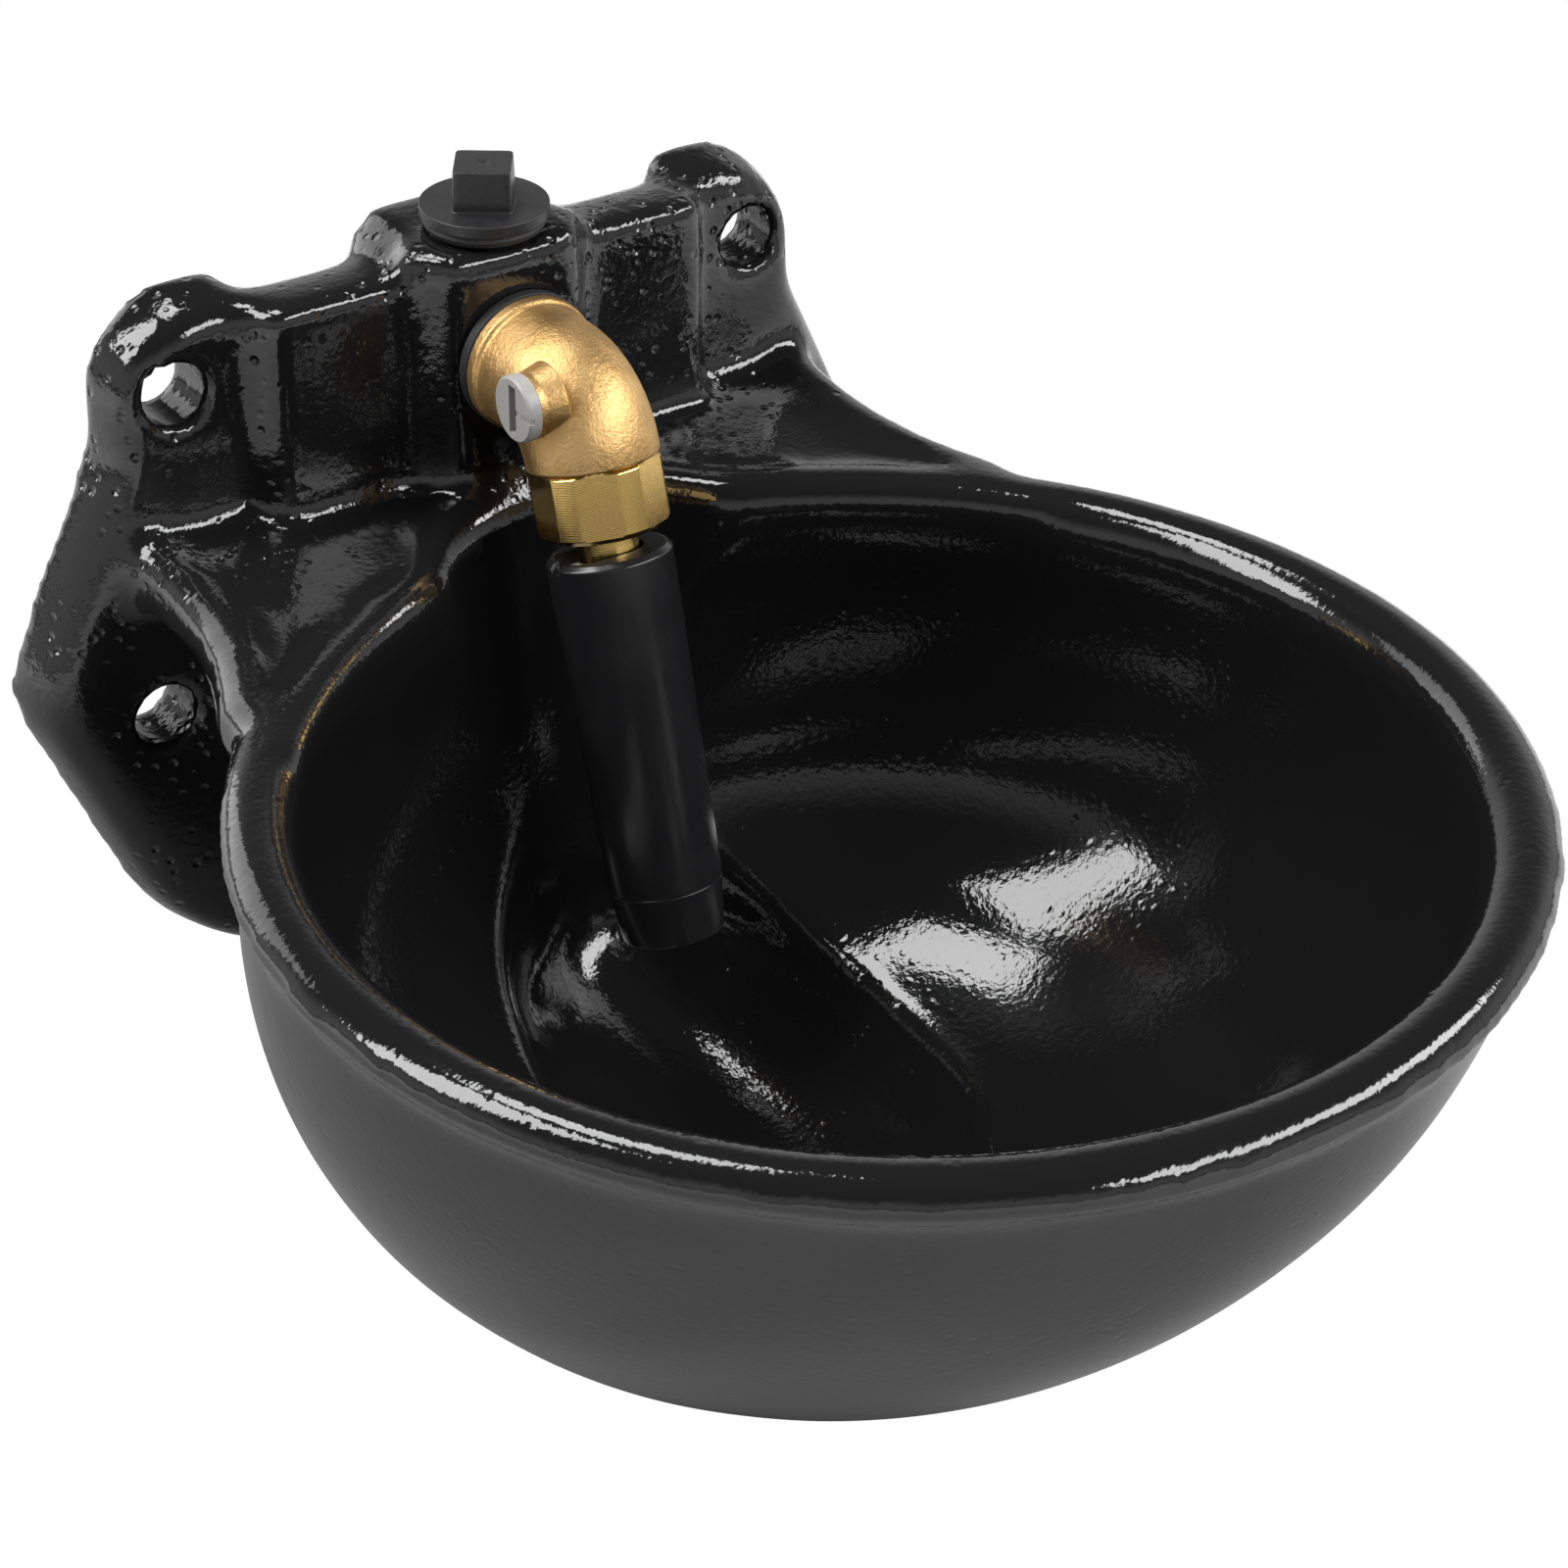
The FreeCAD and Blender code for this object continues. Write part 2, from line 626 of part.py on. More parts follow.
SHELL_LEVELS = (0.0, 0.14, 0.3, 0.46, 0.61, 0.74, 0.85, 0.93, 0.985)
shell_rings = []
for number, level in enumerate(SHELL_LEVELS):
    ring = doc.addObject("Part::Circle", "shell_ring_%d" % number)
    narrowing = (1 - level ** d.shell_fullness) ** (1 / d.shell_fullness)
    bind(ring, Radius=shell_radius * narrowing)
    place(ring, y=d.shell_shift * level - d.bowl_y, z=d.rim_under - shell_depth * level)
    shell_rings.append(ring)
shell = doc.addObject("Part::Loft", "shell_form")
shell.Sections = shell_rings
shell.Solid = True
shell.Ruled = False


def half_ellipse_wire(half_width, depth, y):
    """Closed wire: a level line on top and half an ellipse below it."""
    top = d.shoulder_top.number - d.shoulder_thick.number / 2
    wide = half_width.number
    deep = depth.number
    tall = deep > wide
    if tall:
        frame = Part.Ellipse(Vector(0, 0, -deep), Vector(wide, 0, 0), Vector(0, 0, 0))
        arc = Part.ArcOfEllipse(frame, -math.pi / 2, math.pi / 2)
    else:
        frame = Part.Ellipse(Vector(wide, 0, 0), Vector(0, 0, -deep), Vector(0, 0, 0))
        arc = Part.ArcOfEllipse(frame, 0, math.pi)
    lower = arc.toShape()
    lower.translate(Vector(0, -y.number, top))
    first = lower.Vertexes[0].Point
    last = lower.Vertexes[-1].Point
    return Part.Wire([lower, Part.makeLine(last, first)])


neck = doc.addObject("Part::Feature", "neck_form")
neck.Shape = Part.makeLoft(
    [
        half_ellipse_wire(d.neck_plate_half, d.neck_plate_depth, d.plate_depth - 4.0),
        half_ellipse_wire(d.neck_mid_half, d.neck_mid_depth, d.neck_mid_y),
        half_ellipse_wire(d.neck_bowl_half, d.neck_bowl_depth, d.neck_bowl_y),
    ],
    True,
    True,
)

# Hollow: keyhole sections of dish and alcove, with round corners, lofted down to the ridge of the pool

alcove_y = d.block_front + d.alcove_back + d.mouth_round + d.alcove_radius - 4.5


def keyhole(drop, grown=0):
    """Level section at a depth below the rim: a round dish, a smaller round alcove, and round corners."""
    level = drop / d.dish_depth
    grown = as_size(grown)
    dish_radius = rim_inner * (1 - level ** d.dish_fullness) ** (1 / d.dish_fullness)
    dish_y = d.dish_shift * level - d.bowl_y
    small_radius = d.alcove_radius - d.alcove_taper * (drop / d.ridge_drop)
    small_y = -alcove_y - drop * tangent(d.alcove_lean)
    reach = dish_radius + d.corner_radius
    small_reach = small_radius + d.corner_radius
    between = small_y - dish_y
    along = (reach ** 2 - small_reach ** 2 + between ** 2) / (between * 2)
    aside = (reach ** 2 - along ** 2) ** 0.5
    dish_part = (dish_radius + grown) / reach
    small_part = (small_radius + grown) / small_reach
    dish_touch = (aside * dish_part, dish_y + along * dish_part)
    small_touch = (aside * small_part, small_y + (along - between) * small_part)
    large = dish_radius + grown
    small = small_radius + grown
    corner = -(d.corner_radius - grown)
    return [
        (0, small_y + small, small),
        (small_touch[0], small_touch[1], corner),
        (dish_touch[0], dish_touch[1], large),
        (0, dish_y - large, large),
        (-dish_touch[0], dish_touch[1], corner),
        (-small_touch[0], small_touch[1], small),
    ]


def lofted(name, sections):
    """Loft through level sections, given as outline and height."""
    body = new_body(name)
    sketches = [outline(body, "XY_Plane", corners, height) for corners, height in sections]
    loft = body.newObject("PartDesign::AdditiveLoft", name + "_loft")
    loft.Profile = sketches[0]
    loft.Sections = sketches[1:]
    loft.Ruled = False
    return body


HOLLOW_LEVELS = (0.0, 0.2, 0.4, 0.57, 0.71, 0.82, 0.9, 0.96, 1.0)
hollow_sections = []
for level in HOLLOW_LEVELS:
    drop = d.ridge_drop * level
    hollow_sections.append((keyhole(drop), d.rim_under - drop))
hollow = lofted("hollow_form", hollow_sections)
mouth = new_body("mouth_form")
pad(mouth, outline(mouth, "XY_Plane", keyhole(as_size(0)), d.rim_under), 30.0)

lip_side = side_wedge("lip_side", d.shoulder_top + d.lip_rise, d.lip_fall)
lip = overlap("mouth_lip", lip_side, plan_block("lip_plan", keyhole(as_size(0), d.lip_width)))

MOUTH_ANGLES = (0, 30, 55, 75, 90)
flare_sections = []
for angle in MOUTH_ANGLES:
    angle = as_size(angle)
    grown = d.mouth_round * (1 - cosine(angle))
    flare_sections.append((keyhole(as_size(0), grown), d.rim_under + 3.8 + d.mouth_round * sine(angle)))
mouth_flare = lofted("mouth_flare", flare_sections)


def pool_half(name, reach, turn):
    """Half of the pool's egg shape, towards the wall or towards the front."""
    egg = doc.addObject("Part::Ellipsoid", name)
    bind(egg, Radius1=d.pool_height, Radius2=d.pool_half, Radius3=reach)
    egg.Angle3 = 180
    return place(egg, y=-d.pool_y, z=pool_middle, axis=(0, 0, 1), angle=turn)


pool = [pool_half("pool_back", d.pool_back, 0), pool_half("pool_front", d.pool_front, 180)]

# Water channel, ports and bolt holes

port_bore = d.port_radius + d.thread_clearance
channel = cylinder("channel_bore", d.channel_radius, d.block_top - d.plate_bottom + 2.0)
place(channel, y=-d.channel_y, z=d.plate_bottom - 1.0)
top_port = cylinder("top_port_bore", port_bore, d.port_depth + 5.0)
place(top_port, y=-d.channel_y, z=d.block_top - d.port_depth)
bottom_port = cylinder("bottom_port_bore", port_bore, d.port_depth + 5.0)
place(bottom_port, y=-d.channel_y, z=d.plate_bottom - 5.0)
front_port = cylinder("front_port_bore", port_bore, d.front_port_depth + 5.0)
place(front_port, y=-d.block_front + d.front_port_depth, z=d.front_port_z, angle=90)
front_passage = cylinder("front_passage", d.front_passage_radius, d.block_front - d.channel_y)
place(front_passage, y=-d.channel_y, z=d.front_port_z, angle=90)


def bolt_hole(name, x, z):
    """Cored hole through the plate with a wider mouth at the front."""
    shank = cylinder(name, d.bolt_hole_radius, d.plate_depth + 2.0)
    place(shank, x=x, y=1.0, z=z, angle=90)
    mouth = doc.addObject("Part::Cone", name + "_mouth")
    bind(mouth, Radius1=d.bolt_hole_radius, Radius2=d.bolt_hole_radius + 2 * d.bolt_hole_mouth)
    bind(mouth, Height=d.bolt_hole_mouth * 2)
    place(mouth, x=x, y=-d.plate_depth + d.bolt_hole_mouth, z=z, angle=90)
    return [shank, mouth]


holes = []
holes += bolt_hole("upper_hole_left", -d.upper_hole_x, as_size(0))
holes += bolt_hole("upper_hole_right", d.upper_hole_x, as_size(0))
holes += bolt_hole("lower_hole_left", -d.lower_hole_x, -d.lower_hole_drop)
holes += bolt_hole("lower_hole_right", d.lower_hole_x, -d.lower_hole_drop)


def back_recess(name, side):
    """Hollow in the back of the raised middle, open at the top."""
    width = d.mid_half_width - d.rib_half_width - 2.0
    hollow = box(name, width, d.mid_recess, d.mid_top - d.shoulder_top + 40.0)
    left = d.rib_half_width + 1.0 if side > 0 else -d.rib_half_width - 1.0 - width
    place(hollow, x=left, y=-d.mid_recess, z=d.shoulder_top)
    return hollow


recesses = [back_recess("back_recess_left", -1), back_recess("back_recess_right", 1)]


def back_pocket(name, side):
    """Deeper pocket behind shoulder and neck that keeps the casting's wall even."""
    body = new_body(name)
    corners = [
        (d.rib_half_width + 1.0, d.shoulder_top + 2.0),
        (d.mid_half_width, d.shoulder_top + 2.0),
        (d.upper_hole_x - 6.0, d.shoulder_top - 22.0),
        (d.lower_hole_x - 20.0, d.hip_z - 14.0),
        (d.foot_half_width - 34.0, d.foot_z + 2.0),
        (d.rib_half_width + 1.0, d.foot_z - 10.0),
    ]
    if side < 0:
        corners = [(-as_size(c[0]), c[1]) for c in reversed(corners)]
    pad(body, outline(body, "XZ_Plane", corners), d.plate_depth - d.back_wall)
    return body


pockets = [back_pocket("back_pocket_left", -1), back_pocket("back_pocket_right", 1)]


def core_section(side, outer, draft):
    """Outline of the hollow behind the neck, on one side of the water channel."""
    inner = d.core_inner + draft * 0.2
    top = -d.core_top - draft
    foot = draft - d.core_foot
    corners = [
        (inner, top),
        (outer, top),
        (outer, top * 0.5 + foot * 0.5),
        (inner * 0.5 + outer * 0.5, foot * 0.85 + top * 0.15),
        (inner, foot),
    ]
    if side > 0:
        return corners
    return [(-c[0], c[1]) for c in reversed(corners)]


def neck_core(name, side):
    """Drafted hollow from the wall side towards the alcove, as the foundry's core leaves it."""
    body = new_body(name)
    wall_side = outline(body, "XZ_Plane", core_section(side, d.core_outer, as_size(0)), -1.0)
    floor = outline(body, "XZ_Plane", core_section(side, d.core_outer_deep, d.core_draft), d.core_depth)
    loft = body.newObject("PartDesign::AdditiveLoft", name + "_loft")
    loft.Profile = wall_side
    loft.Sections = [floor]
    loft.Ruled = True
    return body


cores = [neck_core("neck_core_left", -1), neck_core("neck_core_right", 1)]

casting_back = join("casting_back", [plate, middle, block, rib, channel_boss, shoulders, lip, beads, neck])
casting_mouth = cut("casting_mouth", casting_back, [mouth])
casting_flared = cut("casting_flared", casting_mouth, [mouth_flare])
casting_solid = join("casting_solid", [casting_flared, shell, rim])
casting_hollow = cut("casting_hollow", casting_solid, [hollow])
casting_pool_back = cut("casting_pool_back", casting_hollow, [pool[0]])
casting_pool = cut("casting_pool", casting_pool_back, [pool[1]])
casting_piped = cut("casting_piped", casting_pool, [channel, top_port, bottom_port, front_port, front_passage])
casting_drilled = cut("casting_drilled", casting_piped, holes)
casting_recessed = cut("casting_recessed", casting_drilled, recesses)
casting_pocketed = cut("casting_pocketed", casting_recessed, pockets)
casting = cut("bowl_casting", casting_pocketed, cores)

# Top plug: hollow threaded shank, flange and square head

plug_under = d.block_top + d.plug_seal
plug_turned = turned(
    "plug_turned",
    [
        (d.port_radius - d.plug_wall, -d.plug_shank - d.plug_seal),
        (d.port_radius - 0.8, -d.plug_shank - d.plug_seal),
        (d.port_radius, -d.plug_shank - d.plug_seal + 0.8),
        (d.port_radius, 0),
        (d.plug_flange_radius, 0),
        (d.plug_flange_radius, d.plug_flange - 0.4),
        (d.plug_flange_radius - 0.4, d.plug_flange),
        (0, d.plug_flange),
        (0, 0.4),
        (d.port_radius - d.plug_wall, -1.6),
    ],
)
place(plug_turned, y=-d.channel_y, z=plug_under)
plug_head = doc.addObject("Part::Wedge", "plug_head")
half_top = d.plug_square / 2
half_base = d.plug_square_base / 2
bind(plug_head, Xmin=-half_base, Xmax=half_base, Zmin=-half_base, Zmax=half_base)
bind(plug_head, X2min=-half_top, X2max=half_top, Z2min=-half_top, Z2max=half_top)
bind(plug_head, Ymin=as_size(0), Ymax=d.plug_head + 0.5)
plug_head.Placement = Placement(Vector(0, 0, 0), Rotation(Vector(1, 0, 0), 90))
plug_head_holder = join("plug_head_turned", [plug_head, sphere("plug_head_core", 1.0)])
place(plug_head_holder, y=-d.channel_y, z=plug_under + d.plug_flange - 0.5, axis=(0, 0, 1), angle=-d.plug_turn)
plug_dimple = sphere("plug_dimple", 1.6)
place(plug_dimple, y=-d.channel_y, z=plug_under + d.plug_flange + d.plug_head + 1.1)
top_plug = cut("top_plug", join("plug_solid", [plug_turned, plug_head_holder]), [plug_dimple])

top_plug_seal = turned(
    "top_plug_seal",
    [
        (port_bore, 0),
        (d.plug_flange_radius - 1.2, 0),
        (d.plug_flange_radius - 0.6, d.plug_seal / 2),
        (d.plug_flange_radius - 1.2, d.plug_seal),
        (port_bore, d.plug_seal),
    ],
)
place(top_plug_seal, y=-d.channel_y, z=d.block_top)

# Elbow: screwed tail, collar, bend and the boss for the flow screw

elbow_seal = turned(
    "elbow_seal",
    [
        (port_bore, 0),
        (d.gasket_radius, 0),
        (d.gasket_radius, d.gasket),
        (port_bore, d.gasket),
    ],
)
place(elbow_seal, y=-d.block_front, z=d.front_port_z, angle=90)

elbow_front = d.block_front + d.gasket
bend_angle = 90 - d.valve_tilt
tangent_length = d.elbow_bend * tangent(bend_angle / 2)
bend_start = d.elbow_corner_y - tangent_length
outlet_y = d.elbow_corner_y + (tangent_length + d.elbow_lip) * sine(d.valve_tilt)
outlet_z = d.front_port_z - (tangent_length + d.elbow_lip) * cosine(d.valve_tilt)
tail_length = d.front_port_depth - 0.5 + d.gasket
water_radius = d.elbow_radius - d.elbow_wall

elbow_tail = cylinder("elbow_tail", d.port_radius, tail_length + 1.0)
place(elbow_tail, y=-elbow_front + tail_length, z=d.front_port_z, angle=90)
elbow_inlet = cylinder("elbow_inlet", d.elbow_radius, bend_start - elbow_front)
place(elbow_inlet, y=-elbow_front, z=d.front_port_z, angle=90)
elbow_collar = cylinder("elbow_collar", d.elbow_collar_radius, d.elbow_collar)
place(elbow_collar, y=-elbow_front, z=d.front_port_z, angle=90)


def bend(name, radius):
    """Part of a ring from the level inlet round to the leaning outlet."""
    ring = doc.addObject("Part::Torus", name)
    bind(ring, Radius1=d.elbow_bend, Radius2=radius, Angle3=bend_angle)
    return place(ring, y=-bend_start, z=d.front_port_z - d.elbow_bend, axis=(1, 0, 1), angle=180)


elbow_bend = bend("elbow_bend_form", d.elbow_radius)


def valve_place(obj, along=0):
    """Put an object on the valve axis, at a distance above the elbow's outlet rim."""
    along = as_size(along)
    return place(
        obj,
        y=-outlet_y + along * sine(d.valve_tilt),
        z=outlet_z + along * cosine(d.valve_tilt),
        angle=-d.valve_tilt,
    )


screw_face_x = d.elbow_radius + d.screw_gap + d.screw_head
elbow_lip = valve_place(cylinder("elbow_lip_form", d.elbow_radius, d.elbow_lip))
elbow_boss = cylinder("elbow_boss", d.screw_boss, screw_face_x - d.screw_head - 6.0)
place(elbow_boss, x=-screw_face_x + d.screw_head, y=-d.screw_y, z=d.screw_z, axis=(0, 1, 0), angle=90)

tail_bore = cylinder("tail_bore", d.port_radius - 2.2, tail_length + 6.0)
place(tail_bore, y=-elbow_front + tail_length + 1.0, z=d.front_port_z, angle=90)
inlet_bore = cylinder("inlet_bore", water_radius, bend_start - elbow_front - 3.0)
place(inlet_bore, y=-elbow_front - 3.0, z=d.front_port_z, angle=90)
bend_bore = bend("bend_bore", water_radius)
spigot_bore = d.spigot_radius + d.thread_clearance
counterbore_depth = d.nut_spigot + d.seat_thick + d.elbow_lip + 1.0
outlet_bore = valve_place(cylinder("outlet_bore", spigot_bore + 0.6, counterbore_depth + 1.0), -1.0)
stem_bore = cylinder("stem_bore", d.screw_stem + d.running_clearance, screw_face_x)
place(stem_bore, x=-screw_face_x - 1.0, y=-d.screw_y, z=d.screw_z, axis=(0, 1, 0), angle=90)
valve_elbow = cut(
    "valve_elbow",
    join("elbow_solid", [elbow_tail, elbow_inlet, elbow_collar, elbow_bend, elbow_lip, elbow_boss]),
    [tail_bore, inlet_bore, bend_bore, outlet_bore, stem_bore],
)

# Flow screw: slotted head, stem with a sealing ring, and a half round gate in the water

stem_groove = 1.6
screw_turned = turned(
    "screw_turned",
    [
        (0, 0),
        (d.screw_radius - 0.5, 0),
        (d.screw_radius, 0.5),
        (d.screw_radius, d.screw_head),
        (d.screw_stem, d.screw_head),
        (d.screw_stem, d.screw_head + 0.9),
        (d.screw_stem - 1.0, d.screw_head + 0.9),
        (d.screw_stem - 1.0, d.screw_head + 0.9 + stem_groove),
        (d.screw_stem, d.screw_head + 0.9 + stem_groove),
        (d.screw_stem, d.screw_head + 4.4),
        (d.screw_stem - 0.9, d.screw_head + 4.4),
        (d.screw_stem - 0.9, d.screw_head + 5.4),
        (d.screw_stem - 0.3, d.screw_head + 5.4),
        (d.screw_stem - 0.3, d.screw_head + 7.0),
        (0, d.screw_head + 7.0),
    ],
)


def screw_place(obj, depth=0):
    """Put an object on the flow screw's axis, at a depth behind the head's face."""
    return place(obj, x=as_size(depth) - screw_face_x, y=-d.screw_y, z=d.screw_z, axis=(0, 1, 0), angle=90)


screw_slot = box("screw_slot", 1.8, d.screw_slot, d.screw_radius * 1.5)
place(screw_slot, x=-screw_face_x - 0.3, y=-d.screw_y - d.screw_slot / 2, z=d.screw_z - d.screw_radius * 0.75)
screw_mark = box("screw_mark", 1.3, d.screw_radius, 1.4)
place(screw_mark, x=-screw_face_x - 0.3, y=-d.screw_y - d.screw_radius, z=d.screw_z - 0.7)
gate_cut = box("gate_cut", 4.0, d.screw_stem * 2, d.screw_stem)
place(
    gate_cut,
    x=d.screw_head + 5.8 - screw_face_x,
    y=-d.screw_y - d.screw_stem,
    z=d.screw_z,
)
flow_screw = cut("flow_screw", screw_place(screw_turned), [screw_slot, screw_mark, gate_cut])

flow_screw_o_ring = doc.addObject("Part::Torus", "flow_screw_o_ring")
o_ring_room = 1.0 + d.running_clearance
bind(flow_screw_o_ring, Radius1=d.screw_stem - 1.0 + o_ring_room / 2, Radius2=o_ring_room / 2 - 0.015)
screw_place(flow_screw_o_ring, d.screw_head + 0.9 + stem_groove / 2)

# Nut: hexagon with turned corners, threaded spigot, neck and the flange that carries the tube

flange_top = -d.nut_length - d.tube_gap - d.collar_thick - d.glide_thick
nut_turned = turned(
    "nut_turned",
    [
        (d.nut_bore, flange_top - d.flange_thick),
        (d.flange_radius - 0.4, flange_top - d.flange_thick),
        (d.flange_radius, flange_top - d.flange_thick + 0.4),
        (d.flange_radius, flange_top),
        (d.neck_radius, flange_top),
        (d.neck_radius, -d.nut_length),
        (d.nut_corner_radius - 2.0, -d.nut_length),
        (d.nut_corner_radius, -d.nut_length + 1.4),
        (d.nut_corner_radius, -0.9),
        (d.nut_corner_radius - 0.9, 0),
        (d.spigot_radius, 0),
        (d.spigot_radius, d.nut_spigot - 0.6),
        (d.spigot_radius - 0.6, d.nut_spigot),
        (d.nut_bore, d.nut_spigot),
    ],
)
valve_place(nut_turned)
nut_hexagon = doc.addObject("Part::Prism", "nut_hexagon")
nut_hexagon.Polygon = 6
bind(nut_hexagon, Circumradius=d.nut_flats / 2 / cosine(as_size(30)), Height=d.nut_length + 2.0)
valve_place(nut_hexagon, -d.nut_length - 1.0)
nut_round = cylinder("nut_round", d.spigot_radius + 0.5, d.nut_length + 30.0)
valve_place(nut_round, flange_top - d.flange_thick - 2.0)
valve_nut = overlap("valve_nut", nut_turned, join("nut_envelope", [nut_hexagon, nut_round]))

nut_gasket = turned(
    "nut_gasket",
    [
        (d.spigot_radius - 1.8, 0),
        (d.spigot_radius + 0.4, 0),
        (d.spigot_radius + 0.4, 0.8),
        (d.spigot_radius - 1.8, 0.8),
    ],
)
valve_place(nut_gasket, d.nut_spigot)

# Valve: rubber seat on the spigot, disc and pin, spring and the cage that holds them

seat_low = d.nut_spigot + 0.8
valve_seat = turned(
    "valve_seat",
    [
        (d.nut_bore, 0),
        (d.spigot_radius - 0.9, 0),
        (d.spigot_radius - 0.9, d.seat_thick - 0.8),
        (d.nut_bore + 1.6, d.seat_thick - 0.8),
        (d.nut_bore + 1.3, d.seat_thick),
        (d.nut_bore + 0.3, d.seat_thick),
        (d.nut_bore, d.seat_thick - 0.4),
    ],
)
valve_place(valve_seat, seat_low)

disc_low = seat_low + d.seat_thick
valve_disc = turned(
    "valve_disc",
    [
        (d.pin_radius, 0),
        (d.disc_radius - 0.4, 0),
        (d.disc_radius, 0.4),
        (d.disc_radius, d.disc_thick - 0.6),
        (d.disc_radius - 0.6, d.disc_thick),
        (d.spring_radius - 0.9, d.disc_thick),
        (d.spring_radius - 0.9, d.disc_thick + 1.2),
        (d.pin_radius, d.disc_thick + 1.2),
    ],
)
valve_place(valve_disc, disc_low)

pivot_height = flange_top + d.glide_thick
bridge_top = pivot_height - d.bridge_drop
foot_low = bridge_top + d.foot_gap
pin_top = seat_low + d.cage_height - 0.6
valve_pin = turned(
    "valve_pin",
    [
        (0, foot_low + 1.0),
        (d.pin_radius, foot_low + 1.0),
        (d.pin_radius, pin_top - 0.4),
        (d.pin_radius - 0.4, pin_top),
        (0, pin_top),
    ],
)
valve_place(valve_pin)

pin_foot = turned(
    "pin_foot",
    [
        (0, 0),
        (1.6, 0.0, -(d.foot_radius * 1.4)),
        (d.foot_radius, 1.4),
        (d.foot_radius, d.foot_height - 0.6),
        (d.foot_radius - 0.6, d.foot_height),
        (d.pin_radius, d.foot_height),
        (d.pin_radius, 1.0),
        (0, 1.0),
    ],
)
valve_place(pin_foot, foot_low)

cage_base = seat_low
cage_outer = d.spigot_radius
valve_cage = turned(
    "valve_cage",
    [
        (cage_outer - d.cage_wall, 0),
        (cage_outer, 0),
        (cage_outer, d.cage_skirt),
        (cage_outer - 1.2, d.cage_skirt),
        (d.cage_top_radius, d.cage_height),
        (d.pin_radius + d.running_clearance, d.cage_height),
        (d.pin_radius + d.running_clearance, d.cage_height - d.cage_top),
        (d.cage_top_radius - 0.6, d.cage_height - d.cage_top),
        (cage_outer - d.cage_wall - 1.2, d.cage_skirt),
        (cage_outer - d.cage_wall, d.cage_skirt - 1.0),
    ],
)
cage_window = new_sketch(valve_cage, "XZ_Plane")
add_outline(
    cage_window,
    [
        (-2.4, 0.9),
        (-2.4, d.cage_height - d.cage_top - 0.5),
        (2.4, d.cage_height - d.cage_top - 0.5),
        (2.4, 0.9),
    ],
)
around(valve_cage, pocket(valve_cage, cage_window, cage_outer + 2.0), 4)
valve_place(valve_cage, cage_base)

spring_low = disc_low + d.disc_thick
spring_height = cage_base + d.cage_height - d.cage_top - spring_low
half_turns = int(d.spring_half_turns.number)
half_turn_rise = (spring_height - d.spring_wire * 2) / d.spring_half_turns
half_turn_tilt = arctangent(half_turn_rise / 2, d.spring_radius)


def half_turn(index):
    """Half a ring of wire from one side of the spring to the other, tilted so that it climbs."""
    wire = doc.addObject("Part::Torus", "spring_half_turn_%d" % index)
    bind(wire, Radius1=d.spring_radius / cosine(half_turn_tilt), Radius2=d.spring_wire)
    wire.Angle3 = 180
    centre = half_turn_rise * (index + 0.5)
    if index % 2 == 0:
        return place(wire, z=centre, axis=(0, 1, 0), angle=half_turn_tilt)
    back = (sine(half_turn_tilt / 2) * -1, 0, cosine(half_turn_tilt / 2))
    return place(wire, z=centre, axis=back, angle=180)


valve_spring = join("valve_spring_wire", [half_turn(index) for index in range(half_turns)])
valve_place(valve_spring, spring_low + d.spring_wire)

# Glide ring, split collar, tube, bridge and tip: what the animal pushes

glide_ring = turned(
    "glide_ring",
    [
        (d.neck_radius + d.running_clearance, 0),
        (d.glide_radius, 0),
        (d.glide_radius, d.glide_thick),
        (d.neck_radius + d.running_clearance, d.glide_thick),
    ],
)
valve_place(glide_ring, flange_top)

collar_outer = d.tube_top_radius - d.tube_wall
tube_collar = turned(
    "tube_collar",
    [
        (d.neck_radius + d.collar_play, 0),
        (collar_outer, 0),
        (collar_outer, d.collar_thick),
        (d.neck_radius + d.collar_play, d.collar_thick),
    ],
)
collar_mouth = new_sketch(tube_collar, "XY_Plane")
add_outline(
    collar_mouth,
    [
        (0, -d.collar_slot / 2),
        (0, d.collar_slot / 2),
        (-d.tube_top_radius, d.collar_slot / 2),
        (-d.tube_top_radius, -d.collar_slot / 2),
    ],
)
pocket(tube_collar, collar_mouth, d.collar_thick * 3, midplane=True)
valve_place(tube_collar, pivot_height)

tube_top = pivot_height + d.collar_thick
tube_foot = tube_top - d.tube_length
socket_radius = d.tube_low_radius - d.tube_wall
valve_tube = turned(
    "valve_tube",
    [
        (socket_radius, tube_foot),
        (d.tube_low_radius, tube_foot),
        (d.tube_top_radius, tube_top - d.tube_chamfer),
        (d.tube_top_radius - d.tube_chamfer, tube_top),
        (collar_outer, tube_top),
        (collar_outer, bridge_top - d.bridge_thick),
        (socket_radius, bridge_top - d.bridge_thick - 1.0),
    ],
)
tube_notch = new_sketch(valve_tube, "YZ_Plane")
add_outline(
    tube_notch,
    [
        (-1.5, tube_top - 2.4),
        (1.5, tube_top - 2.4),
        (1.5, tube_top + 1.0),
        (-1.5, tube_top + 1.0),
    ],
)
pocket(valve_tube, tube_notch, d.tube_top_radius + 1.0, backwards=False)
valve_place(valve_tube)

